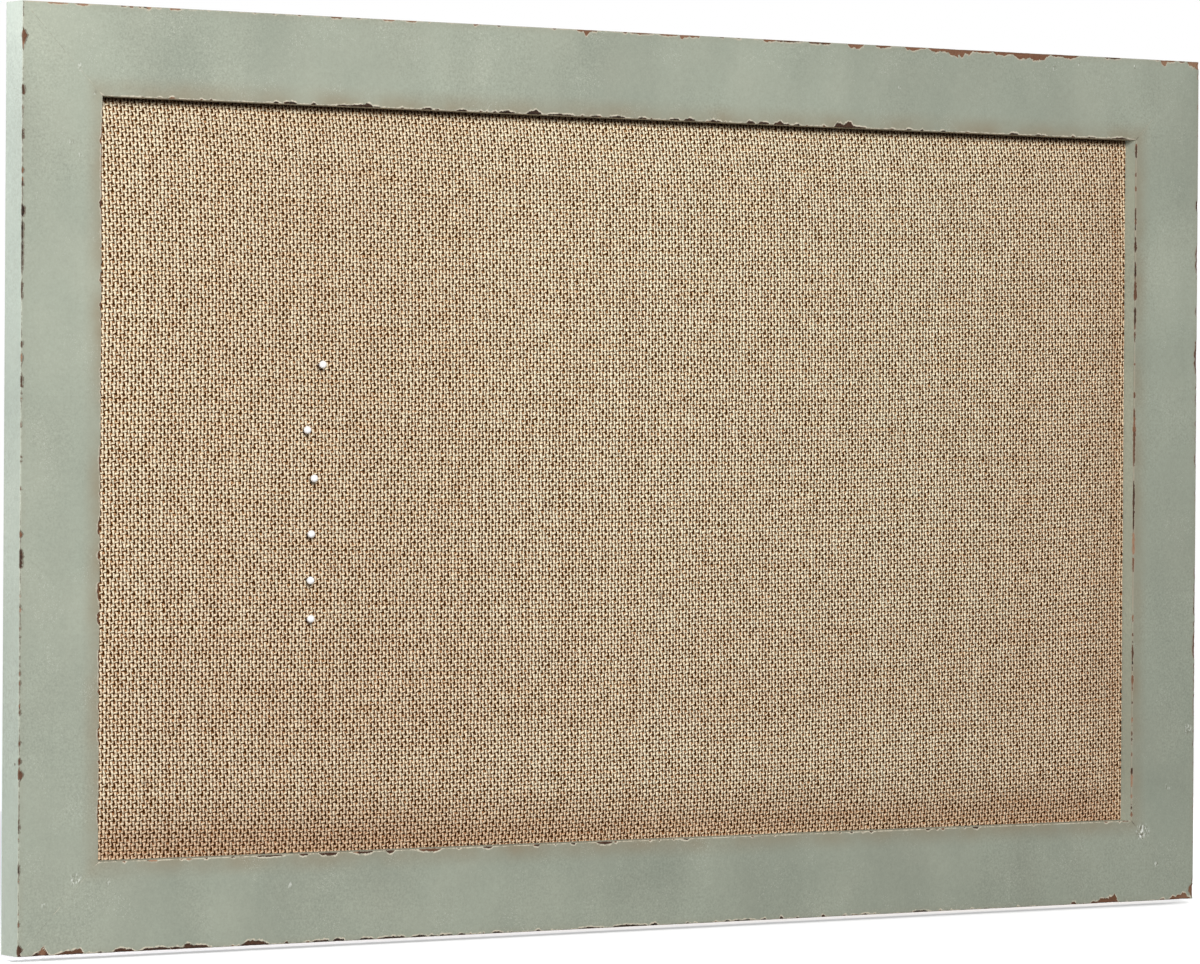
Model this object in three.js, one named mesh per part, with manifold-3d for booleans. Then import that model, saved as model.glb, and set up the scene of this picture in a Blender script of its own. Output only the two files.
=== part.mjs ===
// A wall-hung bulletin board: a mitred wooden frame round a padded, burlap-covered cork panel,
// with ball-headed map pins, two hanging rings and two wall bumpers.
// Millimetres, +X right, +Y towards the wall, +Z up. The origin lies on the wall, midway between
// the two points where the hanging rings bear on their hooks.
import * as THREE from 'three';
import { mergeVertices } from 'three/addons/utils/BufferGeometryUtils.js';
import Module from 'manifold-3d';

const wasm = await Module();
wasm.setup();

// Frame
const BOARD_WIDTH = 812;
const BOARD_HEIGHT = 508;
const FACE_WIDTH = 49;
const FRAME_THICKNESS = 18.5;
const LIP_DEPTH = 10;
const RABBET_WIDTH = 10;
const ARRIS_RADIUS = 0.9;
const MITRE_GAP = 0.2;

// Panel, from the burlap's front skin back to the retaining points
const BURLAP_THICKNESS = 0.7;
const CROWN_HEIGHT = 2.8;
const CROWN_RUN = 42;
const PADDING_MARGIN = 14;
const CORK_THICKNESS = 2.4;
const BACKING_THICKNESS = 1.6;
const BURLAP_FOLD = 32;
const PANEL_SIDE_PLAY = 1.2;

// Retaining points, driven into the wall of the rabbet
const POINT_LENGTH = 15;
const POINT_WIDTH = 7;
const POINT_THICKNESS = 0.4;
const POINT_BITE = 6;
const POINT_TAPER = 3;
const POINTS_PER_RAIL = 4;
const POINTS_PER_STILE = 2;

// Mitre nails, V-shaped steel driven in from the back
const NAIL_HALF_SPAN = 5;
const NAIL_RISE = 2.6;
const NAIL_THICKNESS = 0.7;
const NAIL_DEPTH = 8;
const OUTER_NAIL_INSET = 9;
const INNER_NAIL_INSET = 31;

// Hanging rings and their straps
const HANGING_DROP = 95;
const RING_WIRE_RADIUS = 1;
const RING_BOW_RADIUS = 9;
const RING_ARM = 3;
const RING_CORNER_RADIUS = 2;
const STRAP_THICKNESS = 1;
const STRAP_LENGTH = 24;
const UPPER_SCREW_DROP = 6;
const LOWER_SCREW_DROP = 18;

// Hanger screws
const SCREW_LENGTH = 12;
const SCREW_SHANK_RADIUS = 1.4;
const SCREW_TIP_LENGTH = 3;
const SCREW_HEAD_RADIUS = 2.7;
const SCREW_HEAD_EDGE = 0.6;
const SCREW_HEAD_HEIGHT = 1.7;
const CROSS_LENGTH = 3;
const CROSS_WIDTH = 0.7;
const CROSS_DEPTH = 0.9;

// Wall bumpers
const BUMPER_RADIUS = 6.4;
const BUMPER_THICKNESS = 5;
const BUMPER_ROUND = 1.2;

// Map pins
const PIN_BALL_RADIUS = 2.15;
const PIN_NEEDLE_RADIUS = 0.45;
const PIN_NEEDLE_REACH = 7;
const PIN_NEEDLE_SEAT = 2;
const PIN_TIP_LENGTH = 1.6;
const PIN_STAND_OFF = 1.3;
// Each pin's place, as shares of the opening's width and height from the board's centre,
// and the gap under its ball, as a share of the usual one
const PIN_PLACE_SHARES = [
  [-0.3024, 0.1538, 1.9],
  [-0.315, 0.0662, 1],
  [-0.3087, 0.0013, 1.15],
  [-0.3109, -0.0732, 1],
  [-0.3115, -0.1353, 1.1],
  [-0.311, -0.1867, 1],
];

// Clearances
const SEAT_GAP = 0.2;
const CUT_CLEARANCE = 0.3;
const BORE_CLEARANCE = 0.15;
const EYE_CLEARANCE = 0.3;
const EYE_SIDE_PLAY = 0.5;
const OVERRUN = 1;

// Counts of facets and steps
const ARRIS_STEPS = 3;
const CROWN_STEPS = 4;
const WIRE_SIDES = 8;
const LOOP_STEPS = 48;
const EYE_STEPS = 16;
const HOLE_SIDES = 12;
const NEEDLE_SIDES = 8;
const TURNED_SIDES = 20;
const ROUND_STEPS = 4;
const BALL_STEPS = 8;

// Places that follow from the sizes above
const OPENING_WIDTH = BOARD_WIDTH - 2 * FACE_WIDTH;
const OPENING_HEIGHT = BOARD_HEIGHT - 2 * FACE_WIDTH;
const SOLID_WIDTH = FACE_WIDTH - RABBET_WIDTH;
const BACK_Y = -(BUMPER_THICKNESS + SEAT_GAP);
const FRONT_Y = BACK_Y - FRAME_THICKNESS;
const BOARD_CENTRE_Z = HANGING_DROP - BOARD_HEIGHT / 2;
const PANEL_WIDTH = OPENING_WIDTH + 2 * (RABBET_WIDTH - PANEL_SIDE_PLAY);
const PANEL_HEIGHT = OPENING_HEIGHT + 2 * (RABBET_WIDTH - PANEL_SIDE_PLAY);
const BURLAP_FRONT_Y = FRONT_Y + LIP_DEPTH + SEAT_GAP;
const CORK_FRONT_Y = BURLAP_FRONT_Y + BURLAP_THICKNESS + SEAT_GAP;
const BACKING_FRONT_Y = CORK_FRONT_Y + CORK_THICKNESS + SEAT_GAP;
const FOLD_FRONT_Y = BACKING_FRONT_Y + BACKING_THICKNESS + SEAT_GAP;
const FOLD_BACK_Y = FOLD_FRONT_Y + BURLAP_THICKNESS;
const POINT_Y = FOLD_BACK_Y + SEAT_GAP + POINT_THICKNESS / 2;
const EYE_BORE_RADIUS = RING_WIRE_RADIUS + EYE_CLEARANCE;
const EYE_RADIUS = EYE_BORE_RADIUS + STRAP_THICKNESS;
const STRAP_WIDTH = 2 * (RING_BOW_RADIUS - RING_CORNER_RADIUS - EYE_SIDE_PLAY);
const RING_REACH = RING_ARM + RING_BOW_RADIUS - RING_WIRE_RADIUS;
const HANGER_X = BOARD_WIDTH / 2 - SOLID_WIDTH / 2;

const paintedWood = new THREE.MeshStandardMaterial({ color: 0xa6b09c, roughness: 0.55, metalness: 0 });
const burlap = new THREE.MeshStandardMaterial({ color: 0xb39b7a, roughness: 0.95, metalness: 0 });
const padding = new THREE.MeshStandardMaterial({ color: 0xe9e6dc, roughness: 1, metalness: 0 });
const cork = new THREE.MeshStandardMaterial({ color: 0xb58a5a, roughness: 0.9, metalness: 0 });
const hardboard = new THREE.MeshStandardMaterial({ color: 0x6f4f36, roughness: 0.8, metalness: 0 });
const plainSteel = new THREE.MeshStandardMaterial({ color: 0x9a9c9e, roughness: 0.4, metalness: 1 });
const platedSteel = new THREE.MeshStandardMaterial({ color: 0xc9c6bd, roughness: 0.25, metalness: 1 });
const bumperRubber = new THREE.MeshStandardMaterial({ color: 0x2b2b2c, roughness: 0.7, metalness: 0 });
const whitePlastic = new THREE.MeshStandardMaterial({ color: 0xf2f1ec, roughness: 0.25, metalness: 0 });

// A closed mesh as a solid that can be joined and cut
function toSolid(geometry) {
  const bare = geometry.clone();
  bare.deleteAttribute('normal');
  bare.deleteAttribute('uv');
  const welded = mergeVertices(bare);
  const mesh = new wasm.Mesh({
    numProp: 3,
    vertProperties: Float32Array.from(welded.attributes.position.array),
    triVerts: Uint32Array.from(welded.index.array),
  });
  return new wasm.Manifold(mesh);
}

function toGeometry(solid) {
  const mesh = solid.getMesh();
  const geometry = new THREE.BufferGeometry();
  geometry.setAttribute('position', new THREE.BufferAttribute(mesh.vertProperties, 3));
  geometry.setIndex(new THREE.BufferAttribute(mesh.triVerts, 1));
  geometry.computeVertexNormals();
  return geometry;
}

function cut(geometry, cutters) {
  let solid = toSolid(geometry);
  for (const cutter of cutters) {
    solid = solid.subtract(toSolid(cutter));
  }
  return toGeometry(solid);
}

function addMesh(parent, name, geometry, material) {
  const mesh = new THREE.Mesh(geometry, material);
  mesh.name = name;
  parent.add(mesh);
  return mesh;
}

// Points along an arc, both ends included
function arcPoints(centreX, centreY, radius, startAngle, endAngle, steps) {
  const points = [];
  for (let step = 0; step <= steps; step += 1) {
    const angle = startAngle + ((endAngle - startAngle) * step) / steps;
    points.push(new THREE.Vector2(
      centreX + radius * Math.cos(angle),
      centreY + radius * Math.sin(angle),
    ));
  }
  return points;
}

// A hole along Y, from one depth to another
function boreAlongY(x, z, radius, fromY, toY, sides) {
  const bore = new THREE.CylinderGeometry(radius, radius, toY - fromY, sides);
  return bore.translate(x, (fromY + toY) / 2, z);
}

// Frame member section: x runs from the outer edge to the opening, y from the face to the back.
// The lip holds the panel from the front, and both front arrises are eased.
function memberSection() {
  const lipEnd = FACE_WIDTH - ARRIS_RADIUS;
  return new THREE.Shape([
    ...arcPoints(ARRIS_RADIUS, ARRIS_RADIUS, ARRIS_RADIUS, Math.PI, 1.5 * Math.PI, ARRIS_STEPS),
    ...arcPoints(lipEnd, ARRIS_RADIUS, ARRIS_RADIUS, 1.5 * Math.PI, 2 * Math.PI, ARRIS_STEPS),
    new THREE.Vector2(FACE_WIDTH, LIP_DEPTH),
    new THREE.Vector2(SOLID_WIDTH, LIP_DEPTH),
    new THREE.Vector2(SOLID_WIDTH, FRAME_THICKNESS),
    new THREE.Vector2(0, FRAME_THICKNESS),
  ]);
}

// One member, lying along X with its outer edge uppermost, both ends mitred at 45 degrees
function memberBlank(length, reach) {
  const geometry = new THREE.ExtrudeGeometry(memberSection(), { depth: length, bevelEnabled: false });
  const position = geometry.attributes.position;
  for (let index = 0; index < position.count; index += 1) {
    const across = position.getX(index);
    const end = position.getZ(index) > length / 2 ? 1 : -1;
    const halfLength = length / 2 - across - MITRE_GAP / 2;
    position.setXYZ(index, end * halfLength, FRONT_Y + position.getY(index), reach - across);
  }
  return geometry;
}

// A mitre nail's V, grown by a clearance for its slot. Its point is towards +Z.
function nailGeometry(clearance) {
  const span = NAIL_HALF_SPAN + clearance;
  const drop = NAIL_RISE * (span / NAIL_HALF_SPAN);
  const tipZ = NAIL_THICKNESS / 2 + clearance;
  const outline = new THREE.Shape([
    new THREE.Vector2(-span, -tipZ - drop),
    new THREE.Vector2(0, -tipZ),
    new THREE.Vector2(span, -tipZ - drop),
    new THREE.Vector2(span, tipZ - drop),
    new THREE.Vector2(0, tipZ),
    new THREE.Vector2(-span, tipZ - drop),
  ]);
  const depth = NAIL_DEPTH + 2 * clearance;
  const geometry = new THREE.ExtrudeGeometry(outline, { depth, bevelEnabled: false });
  return geometry.rotateX(Math.PI / 2).translate(0, BACK_Y - SEAT_GAP + clearance, 0);
}

// Centres of the retaining points along a member
function pointPlaces(count, length) {
  const run = length - 2 * SOLID_WIDTH;
  return Array.from({ length: count }, (_, index) => run * ((index + 0.5) / count - 0.5));
}

// Slots for the mitre nails at both ends of a member, in the member's own position
function nailSlots(length, reach) {
  const slots = [];
  for (const end of [-1, 1]) {
    for (const inset of [OUTER_NAIL_INSET, INNER_NAIL_INSET]) {
      const slot = nailGeometry(CUT_CLEARANCE).rotateY((end * Math.PI) / 4);
      slots.push(slot.translate(end * (length / 2 - inset), 0, reach - inset));
    }
  }
  return slots;
}

function pointSlots(count, length, reach) {
  const width = POINT_WIDTH + 2 * CUT_CLEARANCE;
  const thickness = POINT_THICKNESS + 2 * CUT_CLEARANCE;
  const depth = POINT_BITE + CUT_CLEARANCE + OVERRUN;
  const slotZ = reach - SOLID_WIDTH + POINT_BITE + CUT_CLEARANCE - depth / 2;
  return pointPlaces(count, length).map((place) => {
    const slot = new THREE.BoxGeometry(width, thickness, depth);
    return slot.translate(place, POINT_Y, slotZ);
  });
}

// A retaining point: flat steel with a tapered end in the wood, its bite ending at z = 0
function pointGeometry() {
  const half = POINT_WIDTH / 2;
  const outline = new THREE.Shape([
    new THREE.Vector2(-half, -(POINT_LENGTH - POINT_BITE)),
    new THREE.Vector2(half, -(POINT_LENGTH - POINT_BITE)),
    new THREE.Vector2(half, POINT_BITE - POINT_TAPER),
    new THREE.Vector2(0, POINT_BITE),
    new THREE.Vector2(-half, POINT_BITE - POINT_TAPER),
  ]);
  const geometry = new THREE.ExtrudeGeometry(outline, { depth: POINT_THICKNESS, bevelEnabled: false });
  return geometry.rotateX(Math.PI / 2).translate(0, POINT_THICKNESS / 2, 0);
}

// Height of the screws over the board's centre
const screwHeights = [UPPER_SCREW_DROP, LOWER_SCREW_DROP].map(
  (drop) => BOARD_HEIGHT / 2 - HANGING_DROP - RING_REACH - drop,
);

// Screw holes in a stile. A quarter turn puts a stile's own +X downwards or upwards.
function screwHoles(upSign, reach) {
  const radius = SCREW_SHANK_RADIUS + CUT_CLEARANCE;
  const bottomY = BACK_Y - SCREW_LENGTH;
  return screwHeights.map((height) => (
    boreAlongY(upSign * height, reach - SOLID_WIDTH / 2, radius, bottomY, BACK_Y + OVERRUN, HOLE_SIDES)
  ));
}

// The board's centre carries the frame and the panel
const board = new THREE.Group();
board.position.z = BOARD_CENTRE_Z;

// Four members, each with its retaining points: quarter turns about Y take the top rail round
const sides = [
  { name: 'top_rail', turns: 0, length: BOARD_WIDTH, reach: BOARD_HEIGHT / 2, points: POINTS_PER_RAIL },
  { name: 'right_stile', turns: 1, length: BOARD_HEIGHT, reach: BOARD_WIDTH / 2, points: POINTS_PER_STILE },
  { name: 'bottom_rail', turns: 2, length: BOARD_WIDTH, reach: BOARD_HEIGHT / 2, points: POINTS_PER_RAIL },
  { name: 'left_stile', turns: 3, length: BOARD_HEIGHT, reach: BOARD_WIDTH / 2, points: POINTS_PER_STILE },
];
for (const side of sides) {
  const group = new THREE.Group();
  group.rotation.y = (side.turns * Math.PI) / 2;
  const cutters = [
    ...nailSlots(side.length, side.reach),
    ...pointSlots(side.points, side.length, side.reach),
  ];
  if (side.name.endsWith('stile')) {
    cutters.push(...screwHoles(side.turns === 1 ? -1 : 1, side.reach));
  }
  const member = cut(memberBlank(side.length, side.reach), cutters);
  addMesh(group, `frame_${side.name}`, member, paintedWood);
  pointPlaces(side.points, side.length).forEach((place, index) => {
    const point = addMesh(group, `retaining_point_${side.name}_${index + 1}`, pointGeometry(), plainSteel);
    point.position.set(place, POINT_Y, side.reach - SOLID_WIDTH);
  });
  board.add(group);
}

// Two nails across each mitre
const corners = [
  { name: 'top_right', x: 1, z: 1 },
  { name: 'bottom_right', x: 1, z: -1 },
  { name: 'bottom_left', x: -1, z: -1 },
  { name: 'top_left', x: -1, z: 1 },
];
for (const corner of corners) {
  const rows = [['outer', OUTER_NAIL_INSET], ['inner', INNER_NAIL_INSET]];
  for (const [row, inset] of rows) {
    const nail = addMesh(board, `mitre_nail_${corner.name}_${row}`, nailGeometry(0), plainSteel);
    nail.rotation.y = Math.atan2(corner.x, corner.z);
    nail.position.x = corner.x * (BOARD_WIDTH / 2 - inset);
    nail.position.z = corner.z * (BOARD_HEIGHT / 2 - inset);
  }
}

// How far the padded front stands out over its rim, at a place on the panel
function crownAt(x, z) {
  const rise = (offset, openHalf) => {
    const inward = THREE.MathUtils.clamp((openHalf - Math.abs(offset)) / CROWN_RUN, 0, 1);
    return 1 - (1 - inward) ** 2;
  };
  return CROWN_HEIGHT * rise(x, OPENING_WIDTH / 2) * rise(z, OPENING_HEIGHT / 2);
}

// Grid lines across a crowned block: its edge, then steps over the run where it rises
function crownLines(half, openHalf) {
  const lines = [half];
  for (let step = 0; step <= CROWN_STEPS; step += 1) {
    const line = openHalf - (CROWN_RUN * step) / CROWN_STEPS;
    if (line < half) {
      lines.push(line);
    }
  }
  return [...lines.map((line) => -line), ...lines.reverse()];
}

// A flat-backed block whose front follows the crown
function crownedBlock(width, height, frontY, backY) {
  const linesX = crownLines(width / 2, OPENING_WIDTH / 2);
  const linesZ = crownLines(height / 2, OPENING_HEIGHT / 2);
  const cellsX = linesX.length - 1;
  const cellsZ = linesZ.length - 1;
  const geometry = new THREE.BoxGeometry(width, CROWN_HEIGHT, height, cellsX, 1, cellsZ);
  const position = geometry.attributes.position;
  for (let index = 0; index < position.count; index += 1) {
    const x = linesX[Math.round((position.getX(index) / width + 0.5) * cellsX)];
    const z = linesZ[Math.round((position.getZ(index) / height + 0.5) * cellsZ)];
    const y = position.getY(index) > 0 ? backY : frontY - crownAt(x, z);
    position.setXYZ(index, x, y, z);
  }
  return geometry;
}

// Needle holes through the panel, which every layer that a needle passes shares
const pins = PIN_PLACE_SHARES.map(([shareX, shareZ, standOffShare]) => {
  const x = shareX * OPENING_WIDTH;
  const z = shareZ * OPENING_HEIGHT;
  const ballBackY = BURLAP_FRONT_Y - crownAt(x, z) - PIN_STAND_OFF * standOffShare;
  return { x, z, ballBackY };
});
const needleHoles = pins.map((pin) => boreAlongY(
  pin.x,
  pin.z,
  PIN_NEEDLE_RADIUS + CUT_CLEARANCE,
  BURLAP_FRONT_Y - CROWN_HEIGHT - OVERRUN,
  BACKING_FRONT_Y - SEAT_GAP / 2,
  NEEDLE_SIDES,
));

// Burlap: a skin over the front, round the sides and folded onto the back
const skin = 2 * BURLAP_THICKNESS;
const burlapOuter = crownedBlock(PANEL_WIDTH, PANEL_HEIGHT, BURLAP_FRONT_Y, FOLD_BACK_Y);
const burlapInner = crownedBlock(
  PANEL_WIDTH - skin,
  PANEL_HEIGHT - skin,
  BURLAP_FRONT_Y + BURLAP_THICKNESS,
  FOLD_FRONT_Y,
);
const foldWindow = new THREE.BoxGeometry(
  PANEL_WIDTH - 2 * BURLAP_FOLD,
  BURLAP_THICKNESS + 2 * OVERRUN,
  PANEL_HEIGHT - 2 * BURLAP_FOLD,
).translate(0, (FOLD_FRONT_Y + FOLD_BACK_Y) / 2, 0);
addMesh(board, 'burlap_cover', cut(burlapOuter, [burlapInner, foldWindow, ...needleHoles]), burlap);

// Padding: a soft sheet cut smaller than the opening, which the burlap draws down at its rim
const paddingBlank = crownedBlock(
  OPENING_WIDTH - 2 * PADDING_MARGIN,
  OPENING_HEIGHT - 2 * PADDING_MARGIN,
  BURLAP_FRONT_Y + BURLAP_THICKNESS + SEAT_GAP,
  CORK_FRONT_Y - SEAT_GAP,
);
addMesh(board, 'padding_sheet', cut(paddingBlank, needleHoles), padding);

// Cork and hardboard, cut to the same size and wrapped by the burlap
const sheetWidth = PANEL_WIDTH - skin - 2 * SEAT_GAP;
const sheetHeight = PANEL_HEIGHT - skin - 2 * SEAT_GAP;
const corkBlank = new THREE.BoxGeometry(sheetWidth, CORK_THICKNESS, sheetHeight)
  .translate(0, CORK_FRONT_Y + CORK_THICKNESS / 2, 0);
addMesh(board, 'cork_sheet', cut(corkBlank, needleHoles), cork);
const backing = addMesh(
  board,
  'backing_board',
  new THREE.BoxGeometry(sheetWidth, BACKING_THICKNESS, sheetHeight),
  hardboard,
);
backing.position.y = BACKING_FRONT_Y + BACKING_THICKNESS / 2;

// Map pin: a moulded ball with a blind bore, and the needle that it is moulded round.
// The pin's own origin is the back of its ball, and it points towards +Y.
function ballGeometry() {
  const boreRadius = PIN_NEEDLE_RADIUS + BORE_CLEARANCE;
  const backAngle = Math.acos(boreRadius / PIN_BALL_RADIUS);
  const flatY = PIN_BALL_RADIUS * Math.sin(backAngle);
  const round = arcPoints(0, 0, PIN_BALL_RADIUS, -Math.PI / 2, backAngle, BALL_STEPS).slice(1);
  const profile = [
    new THREE.Vector2(0, -PIN_BALL_RADIUS),
    ...round,
    new THREE.Vector2(boreRadius, flatY - PIN_NEEDLE_SEAT - BORE_CLEARANCE),
    new THREE.Vector2(0, flatY - PIN_NEEDLE_SEAT - BORE_CLEARANCE),
  ];
  return new THREE.LatheGeometry(profile, TURNED_SIDES).translate(0, -flatY, 0);
}

function needleGeometry() {
  const profile = [
    new THREE.Vector2(0, -PIN_NEEDLE_SEAT),
    new THREE.Vector2(PIN_NEEDLE_RADIUS, -PIN_NEEDLE_SEAT),
    new THREE.Vector2(PIN_NEEDLE_RADIUS, PIN_NEEDLE_REACH - PIN_TIP_LENGTH),
    new THREE.Vector2(0, PIN_NEEDLE_REACH),
  ];
  return new THREE.LatheGeometry(profile, NEEDLE_SIDES);
}

pins.forEach((pin, index) => {
  const group = new THREE.Group();
  group.position.set(pin.x, pin.ballBackY, pin.z);
  addMesh(group, `map_pin_ball_${index + 1}`, ballGeometry(), whitePlastic);
  addMesh(group, `map_pin_needle_${index + 1}`, needleGeometry(), plainSteel);
  board.add(group);
});

// Strap: a plate with a rolled eye at its top, a round lower end and two screw holes.
// Its own origin is on the eye's axis.
function strapGeometry() {
  const plateTop = STRAP_THICKNESS - EYE_RADIUS;
  const rollEnd = -Math.sqrt(EYE_RADIUS ** 2 - plateTop ** 2);
  const rollAngle = Math.atan2(plateTop, rollEnd) + 2 * Math.PI;
  const side = new THREE.Shape([
    new THREE.Vector2(-STRAP_LENGTH, -EYE_RADIUS),
    ...arcPoints(0, 0, EYE_RADIUS, -Math.PI / 2, rollAngle, EYE_STEPS),
    new THREE.Vector2(-STRAP_LENGTH, plateTop),
  ]);
  side.holes.push(new THREE.Path(
    arcPoints(0, 0, EYE_BORE_RADIUS, 0, 2 * Math.PI, EYE_STEPS).slice(1),
  ));
  const rolled = new THREE.ExtrudeGeometry(side, { depth: STRAP_WIDTH, bevelEnabled: false })
    .translate(0, 0, -STRAP_WIDTH / 2)
    .rotateY(-Math.PI / 2);
  const half = STRAP_WIDTH / 2;
  const plan = new THREE.Shape([
    ...arcPoints(0, half - STRAP_LENGTH, half, Math.PI, 2 * Math.PI, EYE_STEPS),
    new THREE.Vector2(half, EYE_RADIUS + OVERRUN),
    new THREE.Vector2(-half, EYE_RADIUS + OVERRUN),
  ]);
  const planDepth = 2 * (EYE_RADIUS + OVERRUN);
  const planBlock = new THREE.ExtrudeGeometry(plan, { depth: planDepth, bevelEnabled: false })
    .translate(0, 0, -planDepth / 2)
    .rotateX(Math.PI / 2);
  const holes = [UPPER_SCREW_DROP, LOWER_SCREW_DROP].map((drop) => boreAlongY(
    0,
    -drop,
    SCREW_SHANK_RADIUS + CUT_CLEARANCE,
    -EYE_RADIUS - OVERRUN,
    plateTop + OVERRUN,
    HOLE_SIDES,
  ));
  return cut(toGeometry(toSolid(rolled).intersect(toSolid(planBlock))), holes);
}

// Ring: a torus drawn out to a D, with its straight bar in the strap's eye and its bow uppermost
function ringGeometry() {
  const left = RING_CORNER_RADIUS - RING_BOW_RADIUS;
  const path = new THREE.Path();
  path.absarc(0, RING_ARM, RING_BOW_RADIUS, 0, Math.PI, false);
  path.absarc(left, RING_CORNER_RADIUS, RING_CORNER_RADIUS, Math.PI, 1.5 * Math.PI, false);
  path.absarc(-left, RING_CORNER_RADIUS, RING_CORNER_RADIUS, 1.5 * Math.PI, 2 * Math.PI, false);
  path.lineTo(RING_BOW_RADIUS, RING_ARM);
  const geometry = new THREE.TorusGeometry(RING_BOW_RADIUS, RING_WIRE_RADIUS, WIRE_SIDES, LOOP_STEPS);
  const position = geometry.attributes.position;
  for (let index = 0; index < position.count; index += 1) {
    const x = position.getX(index);
    const y = position.getY(index);
    const outward = Math.hypot(x, y) - RING_BOW_RADIUS;
    const turn = Math.round((Math.atan2(y, x) / (2 * Math.PI)) * LOOP_STEPS + LOOP_STEPS) % LOOP_STEPS;
    const place = path.getPointAt(turn / LOOP_STEPS);
    const along = path.getTangentAt(turn / LOOP_STEPS);
    position.setX(index, place.x + outward * along.y);
    position.setY(index, place.y - outward * along.x);
  }
  return geometry.rotateX(Math.PI / 2);
}

// Pan-head screw with a cross recess. Its own origin is under its head, and it points towards -Y.
function screwGeometry() {
  const domeStart = Math.asin(SCREW_HEAD_EDGE / SCREW_HEAD_HEIGHT);
  const dome = arcPoints(0, 0, 1, domeStart, Math.PI / 2, ROUND_STEPS)
    .map((point) => new THREE.Vector2(
      (SCREW_HEAD_RADIUS * point.x) / Math.cos(domeStart),
      SCREW_HEAD_HEIGHT * point.y,
    ));
  const profile = [
    new THREE.Vector2(0, -SCREW_LENGTH + CUT_CLEARANCE),
    new THREE.Vector2(SCREW_SHANK_RADIUS, -SCREW_LENGTH + CUT_CLEARANCE + SCREW_TIP_LENGTH),
    new THREE.Vector2(SCREW_SHANK_RADIUS, 0),
    new THREE.Vector2(SCREW_HEAD_RADIUS, 0),
    ...dome.slice(0, -1),
    new THREE.Vector2(0, SCREW_HEAD_HEIGHT),
  ];
  const slotY = SCREW_HEAD_HEIGHT + OVERRUN - (CROSS_DEPTH + OVERRUN) / 2;
  const slots = [0, Math.PI / 2].map((turn) => (
    new THREE.BoxGeometry(CROSS_LENGTH, CROSS_DEPTH + OVERRUN, CROSS_WIDTH)
      .rotateY(turn)
      .translate(0, slotY, 0)
  ));
  return cut(new THREE.LatheGeometry(profile, TURNED_SIDES), slots);
}

function bumperGeometry() {
  const profile = [
    new THREE.Vector2(0, -BUMPER_THICKNESS),
    new THREE.Vector2(BUMPER_RADIUS, -BUMPER_THICKNESS),
    ...arcPoints(BUMPER_RADIUS - BUMPER_ROUND, -BUMPER_ROUND, BUMPER_ROUND, 0, Math.PI / 2, ROUND_STEPS),
    new THREE.Vector2(0, 0),
  ];
  return new THREE.LatheGeometry(profile, TURNED_SIDES);
}

// Hangers on the stiles and bumpers at the lower corners, left and right
const part = new THREE.Group();
part.add(board);
for (const [hand, sign] of [['left', -1], ['right', 1]]) {
  const hanger = new THREE.Group();
  hanger.position.set(sign * HANGER_X, BACK_Y + SEAT_GAP + EYE_RADIUS, -RING_REACH);
  addMesh(hanger, `hanger_strap_${hand}`, strapGeometry(), platedSteel);
  addMesh(hanger, `hanging_ring_${hand}`, ringGeometry(), platedSteel);
  const screws = [['upper', UPPER_SCREW_DROP], ['lower', LOWER_SCREW_DROP]];
  for (const [row, drop] of screws) {
    const screw = addMesh(hanger, `hanger_screw_${hand}_${row}`, screwGeometry(), platedSteel);
    screw.position.set(0, STRAP_THICKNESS - EYE_RADIUS + SEAT_GAP, -drop);
  }
  part.add(hanger);
  const bumper = addMesh(board, `wall_bumper_${hand}`, bumperGeometry(), bumperRubber);
  bumper.position.x = sign * HANGER_X;
  bumper.position.z = SOLID_WIDTH / 2 - BOARD_HEIGHT / 2;
}

export default part;
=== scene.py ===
import math
import random

import bmesh
import bpy
import numpy as np
from mathutils import Matrix, Vector, noise


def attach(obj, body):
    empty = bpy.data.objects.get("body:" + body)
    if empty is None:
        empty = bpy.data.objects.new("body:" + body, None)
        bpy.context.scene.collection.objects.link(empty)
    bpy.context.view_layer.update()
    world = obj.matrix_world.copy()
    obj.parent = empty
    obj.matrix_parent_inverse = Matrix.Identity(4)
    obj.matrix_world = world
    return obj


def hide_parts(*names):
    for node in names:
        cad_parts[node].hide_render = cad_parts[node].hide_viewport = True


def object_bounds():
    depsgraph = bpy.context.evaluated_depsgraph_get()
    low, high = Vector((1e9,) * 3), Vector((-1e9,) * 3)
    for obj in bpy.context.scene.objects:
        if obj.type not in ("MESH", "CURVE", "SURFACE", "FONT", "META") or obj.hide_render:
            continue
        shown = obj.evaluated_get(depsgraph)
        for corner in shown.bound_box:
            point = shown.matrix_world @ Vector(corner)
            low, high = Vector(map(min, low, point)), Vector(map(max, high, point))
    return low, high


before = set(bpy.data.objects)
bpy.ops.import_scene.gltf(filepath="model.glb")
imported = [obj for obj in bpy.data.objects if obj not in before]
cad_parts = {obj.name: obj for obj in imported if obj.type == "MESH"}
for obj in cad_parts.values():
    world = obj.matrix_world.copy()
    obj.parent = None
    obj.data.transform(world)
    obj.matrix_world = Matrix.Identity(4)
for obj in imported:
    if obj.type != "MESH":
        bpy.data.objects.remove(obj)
cad_low, cad_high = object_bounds()


# Camera: a long lens to the left of the board, level with its middle and turned towards its right end.
# It is rolled by a third of a degree, as the photograph's verticals are.
CAMERA_PLACE = Vector((-1.9539, -2.8240, -0.1330))
CAMERA_YAW = math.radians(34.450)
CAMERA_PITCH = math.radians(-0.460)
CAMERA_ROLL = math.radians(0.3719)
CAMERA_LENS = 180.04

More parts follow.
